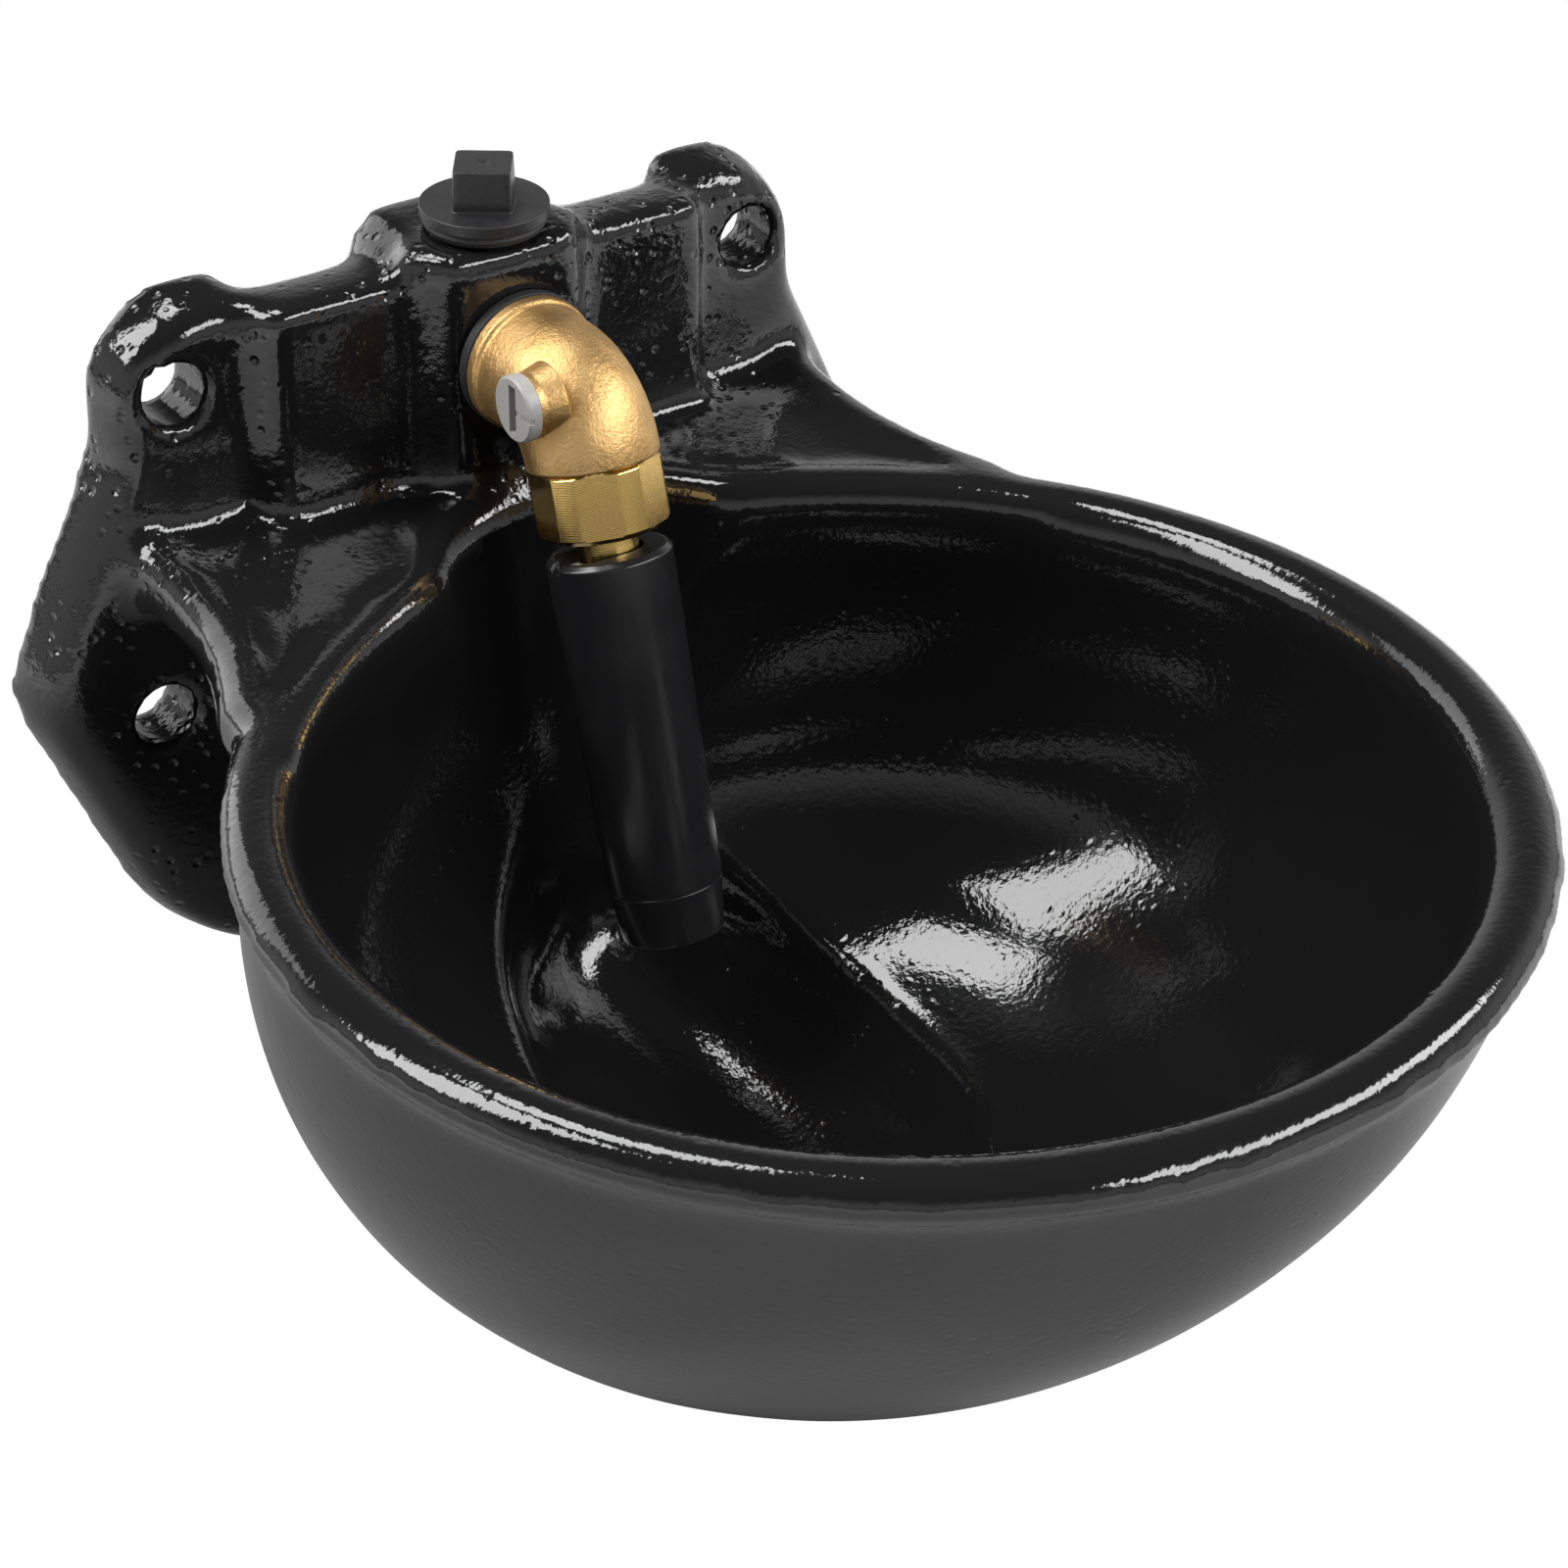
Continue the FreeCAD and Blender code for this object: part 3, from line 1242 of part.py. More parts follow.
tube_bridge = turned(
    "tube_bridge",
    [
        (0, 0),
        (collar_outer, 0),
        (collar_outer, d.bridge_thick),
        (0, d.bridge_thick),
    ],
)
bridge_window = new_sketch(tube_bridge, "XY_Plane")
add_outline(
    bridge_window,
    [
        (d.foot_radius + 1.2, -2.9),
        (d.foot_radius + 1.2, 2.9),
        (collar_outer - 1.2, 4.2),
        (collar_outer - 1.2, -4.2),
    ],
)
around(tube_bridge, pocket(tube_bridge, bridge_window, d.bridge_thick * 3, midplane=True), 4)
valve_place(tube_bridge, bridge_top - d.bridge_thick)

tube_tip = turned(
    "tube_tip",
    [
        (d.tip_low_radius - 2.0, tube_foot - d.tip_length),
        (d.tip_low_radius - 0.6, tube_foot - d.tip_length),
        (d.tip_low_radius, tube_foot - d.tip_length + 0.6),
        (d.tube_low_radius, tube_foot),
        (socket_radius, tube_foot),
        (socket_radius, tube_foot + d.tip_socket),
        (socket_radius - 1.8, tube_foot + d.tip_socket),
    ],
)
valve_place(tube_tip)

# Strainer: a cup with slots, pushed into the elbow's tail

strainer_radius = d.port_radius - 2.2 - 0.05
inlet_strainer = turned(
    "inlet_strainer",
    [
        (0, 0),
        (strainer_radius - 1.4, 0),
        (strainer_radius - 1.0, 9.0),
        (strainer_radius, 9.0),
        (strainer_radius, 10.0),
        (strainer_radius - 1.8, 10.0),
        (strainer_radius - 2.2, 0.8),
        (0, 0.8),
    ],
)
strainer_slot = new_sketch(inlet_strainer, "XZ_Plane")
add_outline(strainer_slot, [(-0.7, 1.6), (-0.7, 8.2), (0.7, 8.2), (0.7, 1.6)])
around(inlet_strainer, pocket(inlet_strainer, strainer_slot, strainer_radius + 1.0), 10)
place(inlet_strainer, y=-elbow_front + tail_length - 0.2, z=d.front_port_z, angle=90)

doc.recompute()
NODES = {
    "bowl_casting": casting,
    "top_plug": top_plug,
    "top_plug_seal": top_plug_seal,
    "elbow_seal": elbow_seal,
    "valve_elbow": valve_elbow,
    "inlet_strainer": inlet_strainer,
    "flow_screw": flow_screw,
    "flow_screw_o_ring": flow_screw_o_ring,
    "valve_nut": valve_nut,
    "nut_gasket": nut_gasket,
    "valve_seat": valve_seat,
    "valve_disc": valve_disc,
    "valve_pin": valve_pin,
    "pin_foot": pin_foot,
    "valve_cage": valve_cage,
    "valve_spring": valve_spring,
    "glide_ring": glide_ring,
    "tube_collar": tube_collar,
    "valve_tube": valve_tube,
    "tube_bridge": tube_bridge,
    "tube_tip": tube_tip,
}

problems = []
for obj in doc.Objects:
    if "Invalid" in obj.State or "Error" in obj.State:
        problems.append("%s: %s" % (obj.Name, obj.State))
for label, obj in NODES.items():
    obj.Label = label
    if obj.Shape.isNull() or not obj.Shape.isValid():
        problems.append(label + ": shape is not valid")
if problems:
    raise RuntimeError("; ".join(problems))

os.makedirs("parts", exist_ok=True)
for label, obj in NODES.items():
    obj.Shape.exportStep(os.path.join("parts", label + ".step"))
    solids = obj.Shape.Solids
    print("%-22s %d solid %10.1f mm3" % (label, len(solids), obj.Shape.Volume))
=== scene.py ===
import math

import bmesh
import bpy
import numpy as np
from mathutils import Matrix, Vector


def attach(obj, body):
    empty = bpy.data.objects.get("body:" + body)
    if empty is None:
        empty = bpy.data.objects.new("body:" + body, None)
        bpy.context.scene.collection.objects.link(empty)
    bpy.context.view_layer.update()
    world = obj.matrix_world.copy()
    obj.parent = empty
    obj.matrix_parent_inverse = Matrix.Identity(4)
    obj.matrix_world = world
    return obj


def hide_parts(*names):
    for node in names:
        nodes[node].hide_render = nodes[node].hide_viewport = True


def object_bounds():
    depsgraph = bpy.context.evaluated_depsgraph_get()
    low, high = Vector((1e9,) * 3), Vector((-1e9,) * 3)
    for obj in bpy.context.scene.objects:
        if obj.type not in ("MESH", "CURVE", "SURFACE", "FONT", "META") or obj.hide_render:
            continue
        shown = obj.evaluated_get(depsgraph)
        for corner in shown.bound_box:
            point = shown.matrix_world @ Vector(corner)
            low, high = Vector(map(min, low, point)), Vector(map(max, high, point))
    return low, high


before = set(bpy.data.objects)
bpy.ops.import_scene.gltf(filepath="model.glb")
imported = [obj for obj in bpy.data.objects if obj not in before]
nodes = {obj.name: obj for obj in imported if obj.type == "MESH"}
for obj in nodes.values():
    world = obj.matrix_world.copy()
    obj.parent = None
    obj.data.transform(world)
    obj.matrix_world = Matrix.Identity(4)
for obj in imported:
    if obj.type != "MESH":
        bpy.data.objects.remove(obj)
cad_low, cad_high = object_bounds()
MM = 0.001

# The bowl casting: one piece of cast iron with its back plate, water block and rim.
# Iron poured in sand, with soft edges and a grainy skin, dipped in glossy black enamel that fills
# the grain in the bowl and leaves it lumpy and pitted on the plate.

CAST_GRAIN = 2.15 * MM
CAST_SOFTENING = 24
UPPER_HOLE = (72 * MM, 0)
LOWER_HOLE = (80 * MM, -76 * MM)
BOLT_HOLES = [(side * across, height) for side in (-1, 1) for across, height in (UPPER_HOLE, LOWER_HOLE)]
HOLE_RADIUS = 7.4 * MM
HOLE_CORE, HOLE_ROOM = 9.75 * MM, 13 * MM
HOLE_CRISPNESS = 0.65
HOLE_FRONT, HOLE_FRONT_BLEND = -24 * MM, 3 * MM
FACING_AXIS = (0.35, 0.85)
PLATE_FRONT = -30 * MM
PLATE_BLEND = 14 * MM
PLATE_LUMP_SIZE, PLATE_LUMP_HEIGHT = 9 * MM, 0.08 * MM
BOWL_WAVE_SIZE, BOWL_WAVE_HEIGHT = 26 * MM, 0.16 * MM
ENAMEL_BLACK = (0.0075, 0.0075, 0.008, 1.0)
ENAMEL_IOR = 1.52
ENAMEL_ROUGHNESS, WEAR_PATCH = (0.05, 0.11), 60 * MM
PEEL_SIZE, PEEL_HEIGHT = 1.6 * MM, 0.07 * MM
SAND_SIZE, SAND_HEIGHT = 2.6 * MM, 0.28 * MM
SAND_PATCH, SANDY_FROM, SANDY_TO, LEAST_SAND = 45 * MM, 0.42, 0.62, 0.25
PIT_SIZE, PIT_DEPTH, PIT_FLOOR, PIT_EDGE = 3.8 * MM, 0.5 * MM, 0.10, 0.32
PIT_PATCH, PITTED_FROM, PITTED_TO = 24 * MM, 0.46, 0.58
BOWL_SHARE = 0.1


def lattice_noise(points, size, seed):
    """Smooth noise from -1 to 1: random numbers on a lattice, blended inside each of its cells."""
    table = np.random.default_rng(seed).uniform(-1, 1, (64, 64, 64))
    cell = points / size
    base = np.floor(cell).astype(int)
    part = cell - base
    part = part * part * (3 - 2 * part)
    total = np.zeros(len(points))
    for corner in np.ndindex(2, 2, 2):
        weight = np.prod(np.where(corner, part, 1 - part), axis=1)
        at = (base + corner) % 64
        total += weight * table[at[:, 0], at[:, 1], at[:, 2]]
    return total


def ramp(values, start, end):
    """0 before start, 1 after end, and a smooth climb between them."""
    t = np.clip((values - start) / (end - start), 0, 1)
    return t * t * (3 - 2 * t)


def of_vertices(mesh, quality):
    """The mesh's vertex places, quality "co", or directions, quality "normal", as rows of three."""
    values = np.empty(len(mesh.vertices) * 3, dtype=np.float32)
    mesh.vertices.foreach_get(quality, values)
    return values.reshape(-1, 3).astype(float)


def merged_copy(node, name):
    """A CAD node's mesh as a new object, with its loose triangles joined."""
    mesh = node.data.copy()
    work = bmesh.new()
    work.from_mesh(mesh)
    bmesh.ops.remove_doubles(work, verts=work.verts, dist=1e-6)
    work.to_mesh(mesh)
    work.free()
    mesh.materials.clear()
    piece = bpy.data.objects.new(name, mesh)
    bpy.context.scene.collection.objects.link(piece)
    return piece


def settle(piece):
    """Turns a piece's modifiers into its mesh."""
    shaped = piece.evaluated_get(bpy.context.evaluated_depsgraph_get())
    mesh = bpy.data.meshes.new_from_object(shaped)
    piece.modifiers.clear()
    piece.data = mesh


def material_of(name, colour, roughness, metallic=0.0):
    """A new material; its shader's plain values are set on the shader's own sockets."""
    material = bpy.data.materials.new(name)
    material.use_nodes = True
    shader = material.node_tree.nodes["Principled BSDF"]
    shader.inputs["Base Color"].default_value = colour
    shader.inputs["Roughness"].default_value = roughness
    shader.inputs["Metallic"].default_value = metallic
    return material


def add_node(material, kind, **values):
    """A new node in a material or world, with the given settings."""
    node = material.node_tree.nodes.new(kind)
    for name, value in values.items():
        setattr(node, name, value)
    return node


def link(material, output, socket):
    """Joins an output to a socket in a material or world."""
    material.node_tree.links.new(output, socket)


def object_place(material, stretch=(1, 1, 1), turn=(0, 0, 0)):
    """Object coordinates, stretched or turned where a pattern has a direction."""
    place = add_node(material, "ShaderNodeTexCoord")
    mapping = add_node(material, "ShaderNodeMapping")
    mapping.inputs["Scale"].default_value = stretch
    mapping.inputs["Rotation"].default_value = turn
    link(material, place.outputs["Object"], mapping.inputs["Vector"])
    return mapping.outputs["Vector"]


def grain(material, place, size, detail=3.0):
    """Noise whose grains are about the given size across."""
    noise = add_node(material, "ShaderNodeTexNoise")
    noise.inputs["Scale"].default_value = 1 / size
    noise.inputs["Detail"].default_value = detail
    link(material, place, noise.inputs["Vector"])
    return noise.outputs["Fac"]


def pits(material, place, size):
    """Distance from scattered points: 0 in the middle of a pit."""
    cells = add_node(material, "ShaderNodeTexVoronoi")
    cells.inputs["Scale"].default_value = 1 / size
    link(material, place, cells.inputs["Vector"])
    return cells.outputs["Distance"]


def spread(material, value, low, high, to_low, to_high):
    """Stretches a value between two limits onto two others and holds it there."""
    scale = add_node(material, "ShaderNodeMapRange")
    scale.inputs["From Min"].default_value = low
    scale.inputs["From Max"].default_value = high
    scale.inputs["To Min"].default_value = to_low
    scale.inputs["To Max"].default_value = to_high
    link(material, value, scale.inputs["Value"])
    return scale.outputs["Result"]


def over_noise(material, noise, to_low, to_high):
    """Spreads the middle of a noise's range, where nearly all its values lie, onto two limits."""
    return spread(material, noise, 0.3, 0.7, to_low, to_high)


def combined(material, operation, first, second):
    """Arithmetic on two values, either of which may be a plain number."""
    sums = add_node(material, "ShaderNodeMath", operation=operation)
    for socket, value in zip(sums.inputs, (first, second)):
        if isinstance(value, (int, float)):
            socket.default_value = value
        else:
            link(material, value, socket)
    return sums.outputs["Value"]


def raise_surface(material, height, depth, below=None):
    """A bump of the given depth in metres; below is the bump it lies on."""
    bump = add_node(material, "ShaderNodeBump")
    bump.inputs["Strength"].default_value = 1.0
    bump.inputs["Distance"].default_value = depth
    link(material, height, bump.inputs["Height"])
    if below is not None:
        link(material, below, bump.inputs["Normal"])
    return bump.outputs["Normal"]


def to_shader(material, output, socket):
    """Joins an output to the named socket of the material's shader."""
    link(material, output, material.node_tree.nodes["Principled BSDF"].inputs[socket])


def black_enamel():
    """Glossy black glass on iron: orange peel all over, sand grain and pits towards the plate.

    Grain and pits come in patches: both are multiplied by a wide noise and by how near the plate is.
    """
    enamel = material_of("black_enamel", ENAMEL_BLACK, 0.13)
    enamel.node_tree.nodes["Principled BSDF"].inputs["IOR"].default_value = ENAMEL_IOR
    place = object_place(enamel)
    split = add_node(enamel, "ShaderNodeSeparateXYZ")
    link(enamel, place, split.inputs["Vector"])
    rough_part = spread(enamel, split.outputs["Y"], PLATE_FRONT - PLATE_BLEND, PLATE_FRONT, BOWL_SHARE, 1)
    normal = raise_surface(enamel, grain(enamel, place, PEEL_SIZE, 2.0), PEEL_HEIGHT)
    sandy = spread(enamel, grain(enamel, place, SAND_PATCH, 1.0), SANDY_FROM, SANDY_TO, LEAST_SAND, 1)
    sandy = combined(enamel, "MULTIPLY", sandy, rough_part)
    sand = combined(enamel, "MULTIPLY", grain(enamel, place, SAND_SIZE), sandy)
    normal = raise_surface(enamel, sand, SAND_HEIGHT, normal)
    hollows = spread(enamel, pits(enamel, place, PIT_SIZE), PIT_FLOOR, PIT_EDGE, -1, 0)
    pitted = spread(enamel, grain(enamel, place, PIT_PATCH, 1.0), PITTED_FROM, PITTED_TO, 0, 1)
    pitted = combined(enamel, "MULTIPLY", pitted, rough_part)
    hollows = combined(enamel, "MULTIPLY", hollows, pitted)
    to_shader(enamel, raise_surface(enamel, hollows, PIT_DEPTH, normal), "Normal")
    wear = grain(enamel, place, WEAR_PATCH, 4.0)
    to_shader(enamel, over_noise(enamel, wear, *ENAMEL_ROUGHNESS), "Roughness")
    return enamel


def around_hole(places, hole):
    """Each place's distance from a bolt hole's axis, and its direction away from that axis."""
    aside = places[:, [0, 2]] - hole
    distance = np.linalg.norm(aside, axis=1)
    return distance, aside / np.maximum(distance, 1e-9)[:, None]


def near_holes(places):
    """1 at the bolt holes, falling to 0 at the edge of their room and in front of the plate."""
    nearness = np.zeros(len(places))
    for hole in BOLT_HOLES:
        distance, _ = around_hole(places, hole)
        nearness = np.maximum(nearness, 1 - ramp(distance, HOLE_CORE, HOLE_ROOM))
    return nearness * ramp(places[:, 1], HOLE_FRONT, HOLE_FRONT + HOLE_FRONT_BLEND)


def round_holes(places, directions):
    """Moves the places on a hole's wall, where the surface faces the axis, to the hole's radius."""
    for hole in BOLT_HOLES:
        distance, outward = around_hole(places, hole)
        facing_axis = -np.sum(directions[:, [0, 2]] * outward, axis=1)
        in_plate = (distance < HOLE_ROOM) & (places[:, 1] > HOLE_FRONT)
        on_wall = ramp(facing_axis, *FACING_AXIS) * in_plate
        places[:, [0, 2]] += outward * (on_wall * (HOLE_RADIUS - distance))[:, None]


def lumpy(places):
    """Height of the skin: a slow wave all over and lumps on the plate, sunk by half a lump."""
    on_plate = ramp(places[:, 1], PLATE_FRONT - PLATE_BLEND, PLATE_FRONT)
    lumps = lattice_noise(places, PLATE_LUMP_SIZE, 3) * PLATE_LUMP_HEIGHT * on_plate
    waves = lattice_noise(places, BOWL_WAVE_SIZE, 5) * BOWL_WAVE_HEIGHT
    return lumps + waves - PLATE_LUMP_HEIGHT * 0.5


casting = merged_copy(nodes["bowl_casting"], "enamelled_casting")
remesh = casting.modifiers.new("sand_grain", "REMESH")
remesh.mode = "VOXEL"
remesh.voxel_size = CAST_GRAIN
settle(casting)
edges = casting.vertex_groups.new(name="soft_edges")
for index, nearness in enumerate(near_holes(of_vertices(casting.data, "co"))):
    edges.add([index], 1 - nearness * HOLE_CRISPNESS, "REPLACE")
soften = casting.modifiers.new("soft_edges", "SMOOTH")
soften.vertex_group = "soft_edges"
soften.factor = 0.5
soften.iterations = CAST_SOFTENING
settle(casting)
places = of_vertices(casting.data, "co")
directions = of_vertices(casting.data, "normal")
round_holes(places, directions)
places += directions * lumpy(places)[:, None]
places = np.clip(places, np.array(cad_low), np.array(cad_high))
casting.data.vertices.foreach_set("co", places.astype(np.float32).ravel())
casting.data.shade_smooth()
casting.data.materials.append(black_enamel())
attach(casting, "root")
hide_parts("bowl_casting")

# The elbow and its seal: a cast brass bend screwed into the block over a black rubber ring.
# The brass is sand cast and tumbled, so it is satin with a fine grain; the boss on its left side
# holds the flow screw.

SEAL_RADIUS, SEAL_BORE, SEAL_THICK = 15.5 * MM, 10.6 * MM, 2.5 * MM
PORT_HEIGHT = -2.0 * MM
BLOCK_FRONT = 36 * MM
ELBOW_FACE = BLOCK_FRONT + SEAL_THICK
ELBOW_RADIUS, ELBOW_WATER = 14.4 * MM, 11.0 * MM
ELBOW_COLLAR_RADIUS, ELBOW_COLLAR, ELBOW_COLLAR_FALL = 15.2 * MM, 2.6 * MM, 0.8 * MM
ELBOW_BEND = 15 * MM
ELBOW_LIP = 1.2 * MM
TAIL_RADIUS, TAIL_BORE, TAIL_END = 10.4 * MM, 8.3 * MM, -10.9 * MM
VALVE_TILT = math.radians(16.8)
BEND_ANGLE = math.pi / 2 - VALVE_TILT
BEND_CORNER = 61.1 * MM
BEND_REACH = ELBOW_BEND * math.tan(BEND_ANGLE / 2)
INLET_LENGTH = BEND_CORNER - BEND_REACH - ELBOW_FACE
BEND_LENGTH = ELBOW_BEND * BEND_ANGLE
OUTLET = INLET_LENGTH + BEND_LENGTH + ELBOW_LIP
SCREW_AXIS = (-61.5 * MM, 1.2 * MM)
SCREW_FACE, SCREW_HEAD = -17.55 * MM, 3 * MM
BOSS_RADIUS, BOSS_BORE = 7.1 * MM, 4.7 * MM
BOSS_FLARE = ((1.6 * MM, 0), (3.6 * MM, 0.6 * MM), (6.0 * MM, 1.3 * MM))
BRASS_DARK = (0.46, 0.28, 0.105, 1)
BRASS_MIDDLE = (0.57, 0.37, 0.15, 1)
BRASS_PALE = (0.65, 0.425, 0.185, 1)
BRASS_ROUGHNESS, BRASS_PATCH = (0.42, 0.54), 9 * MM
BRASS_FINE_SIZE, BRASS_FINE_HEIGHT = 0.5 * MM, 0.10 * MM
BRASS_COARSE_SIZE, BRASS_COARSE_HEIGHT = 1.3 * MM, 0.16 * MM
RUBBER_BLACK, RUBBER_ROUGHNESS = (0.012, 0.012, 0.013, 1.0), (0.5, 0.7)


def rounded(corners, radius, steps=5):
    """The closed outline with each corner rounded by a short parabola that touches both of its sides."""
    corner = np.array(corners, dtype=float)
    sizes = np.where(corner[:, :1] < 1e-9, 0, radius)

    def towards(other):
        reach = other - corner
        length = np.linalg.norm(reach, axis=1, keepdims=True)
        return corner + reach / length * np.minimum(sizes, length * 0.45)

    start = towards(np.roll(corner, 1, axis=0))[:, None]
    end = towards(np.roll(corner, -1, axis=0))[:, None]
    t = np.linspace(0, 1, steps)[None, :, None]
    curve = (1 - t) ** 2 * start + 2 * t * (1 - t) * corner[:, None] + t**2 * end
    return curve.reshape(-1, 2)


def straight(foot, up, side):
    """A straight axis, as a function that gives the place at a height and the two directions across it."""
    foot, up, side = (np.array(v, dtype=float) for v in (foot, up, side))
    across = np.cross(up, side)

    def at(heights):
        centre = foot + heights[:, None] * up
        return centre, np.broadcast_to(side, centre.shape), np.broadcast_to(across, centre.shape)

    return at


def new_piece(name, points, soft_angle=40):
    """A mesh from a grid of points that closes on itself both ways, with its poles merged."""
    rows, columns = points.shape[:2]
    row, column = np.meshgrid(np.arange(rows), np.arange(columns), indexing="ij")
    below, beside = (row + 1) % rows, (column + 1) % columns
    around = ((row, column), (row, beside), (below, beside), (below, column))
    quads = np.stack([at_row * columns + at_column for at_row, at_column in around], axis=-1).reshape(-1, 4)
    mesh = bpy.data.meshes.new(name)
    mesh.from_pydata(points.reshape(-1, 3).tolist(), [], quads.tolist())
    work = bmesh.new()
    work.from_mesh(mesh)
    bmesh.ops.remove_doubles(work, verts=work.verts, dist=1e-7)
    bmesh.ops.dissolve_degenerate(work, edges=work.edges, dist=1e-8)
    bmesh.ops.recalc_face_normals(work, faces=work.faces)
    work.to_mesh(mesh)
    work.free()
    mesh.shade_smooth()
    mesh.set_sharp_from_angle(angle=math.radians(soft_angle))
    piece = bpy.data.objects.new(name, mesh)
    bpy.context.scene.collection.objects.link(piece)
    weighted = piece.modifiers.new("flat_faces", "WEIGHTED_NORMAL")
    weighted.keep_sharp = True
    return piece


def turned(name, corners, axis, soften=0.3 * MM, turns=96, outline=None, sink=None):
    """A profile of radius and height pairs carried round an axis.

    Outline may reshape the radius by angle, and sink may lower points along the axis.
    """
    profile = rounded(corners, soften)
    angle = np.linspace(0, 2 * math.pi, turns, endpoint=False)
    radius = np.repeat(profile[:, :1], turns, axis=1)
    if outline is not None:
        radius = outline(radius, profile[:, 1:], angle[None, :])
    centre, side, across = axis(profile[:, 1])
    points = (
        centre[:, None]
        + (radius * np.cos(angle))[:, :, None] * side[:, None]
        + (radius * np.sin(angle))[:, :, None] * across[:, None]
    )
    if sink is not None:
        fall = sink(profile[:, 1:], angle[None, :])
        points -= fall[:, :, None] * np.cross(side, across)[:, None]
    return new_piece(name, points)


def finish_piece(piece, material, body, slot, *cad_nodes):
    """Gives a piece its material and its body, and hides the CAD nodes that it stands for."""
    piece.data.materials.clear()
    piece.data.materials.append(material)
    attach(piece, body)
    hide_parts(*cad_nodes)


def elbow_axis(heights):
    """The elbow's centre line: level out of the block, round the bend, then down the valve's axis."""
    turn = np.clip((heights - INLET_LENGTH) / ELBOW_BEND, 0, BEND_ANGLE)
    inlet = np.minimum(heights, INLET_LENGTH)
    outlet = np.maximum(heights - INLET_LENGTH - BEND_LENGTH, 0)
    y = -ELBOW_FACE - inlet - ELBOW_BEND * np.sin(turn) - outlet * np.cos(turn)
    z = PORT_HEIGHT - ELBOW_BEND * (1 - np.cos(turn)) - outlet * np.sin(turn)
    centre = np.stack([np.zeros_like(y), y, z], axis=1)
    up = np.stack([np.zeros_like(y), -np.sin(turn), np.cos(turn)], axis=1)
    across = np.broadcast_to([1.0, 0.0, 0.0], centre.shape)
    return centre, up, across


def satin_brass():
    """Tumbled sand-cast brass: warm satin metal with a fine grain and slightly darker patches."""
    brass = material_of("satin_brass", BRASS_MIDDLE, 0.46, 1.0)
    place = object_place(brass)
    cloud = grain(brass, place, BRASS_PATCH, 4.0)
    tint = add_node(brass, "ShaderNodeValToRGB")
    for stop, position, colour in zip(tint.color_ramp.elements, (0.3, 0.7), (BRASS_DARK, BRASS_PALE)):
        stop.position = position
        stop.color = colour
    link(brass, cloud, tint.inputs["Fac"])
    to_shader(brass, tint.outputs["Color"], "Base Color")
    to_shader(brass, over_noise(brass, cloud, *BRASS_ROUGHNESS), "Roughness")
    normal = raise_surface(brass, grain(brass, place, BRASS_FINE_SIZE, 2.0), BRASS_FINE_HEIGHT)
    normal = raise_surface(brass, grain(brass, place, BRASS_COARSE_SIZE, 2.0), BRASS_COARSE_HEIGHT, normal)
    to_shader(brass, normal, "Normal")
    return brass


def seal_rubber():
    """Dull black rubber with a faint moulded grain."""
    rubber = material_of("seal_rubber", RUBBER_BLACK, 0.6)
    place = object_place(rubber)
    to_shader(rubber, raise_surface(rubber, grain(rubber, place, 0.7 * MM), 0.06 * MM), "Normal")
    to_shader(rubber, over_noise(rubber, grain(rubber, place, 3 * MM), *RUBBER_ROUGHNESS), "Roughness")
    return rubber


BRASS = satin_brass()
RUBBER = seal_rubber()
out_of_block = straight((0, -BLOCK_FRONT, PORT_HEIGHT), (0, -1, 0), (0, 0, 1))
elbow_seal = turned(
    "elbow_seal_ring",
    [(SEAL_BORE, 0), (SEAL_RADIUS, 0), (SEAL_RADIUS, SEAL_THICK), (SEAL_BORE, SEAL_THICK)],
    out_of_block,
)
finish_piece(elbow_seal, RUBBER, "root", "seal_rubber", "elbow_seal")
stations = np.linspace(INLET_LENGTH, INLET_LENGTH + BEND_LENGTH, 24)
elbow_profile = (
    [(TAIL_BORE, TAIL_END), (TAIL_RADIUS, TAIL_END), (TAIL_RADIUS, 0)]
    + [(ELBOW_COLLAR_RADIUS, 0), (ELBOW_COLLAR_RADIUS, ELBOW_COLLAR)]
    + [(ELBOW_RADIUS, ELBOW_COLLAR + ELBOW_COLLAR_FALL)]
    + [(ELBOW_RADIUS, station) for station in stations]
    + [(ELBOW_RADIUS, OUTLET), (ELBOW_WATER, OUTLET)]
    + [(ELBOW_WATER, station) for station in stations[::-1]]
    + [(ELBOW_WATER, 3 * MM)]
)
elbow = turned("brass_elbow", elbow_profile, elbow_axis, soften=0.5 * MM, turns=120)
out_of_elbow = straight((SCREW_FACE + SCREW_HEAD, *SCREW_AXIS), (1, 0, 0), (0, 1, 0))
boss = turned(
    "brass_elbow_boss",
    [(BOSS_BORE, 0), (BOSS_RADIUS, 0)]
    + [(BOSS_RADIUS + flare, depth) for depth, flare in BOSS_FLARE]
    + [(BOSS_BORE, BOSS_FLARE[-1][0])],
    out_of_elbow,
)
finish_piece(elbow, BRASS, "root", "cast_brass", "valve_elbow")
boss.data.materials.append(BRASS)
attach(boss, "root")

# The nut: turned from hexagon bar, with the flange below it that carries the tube.
# Bright brass with fine turning rings on the chamfers and mill lines along the flats.

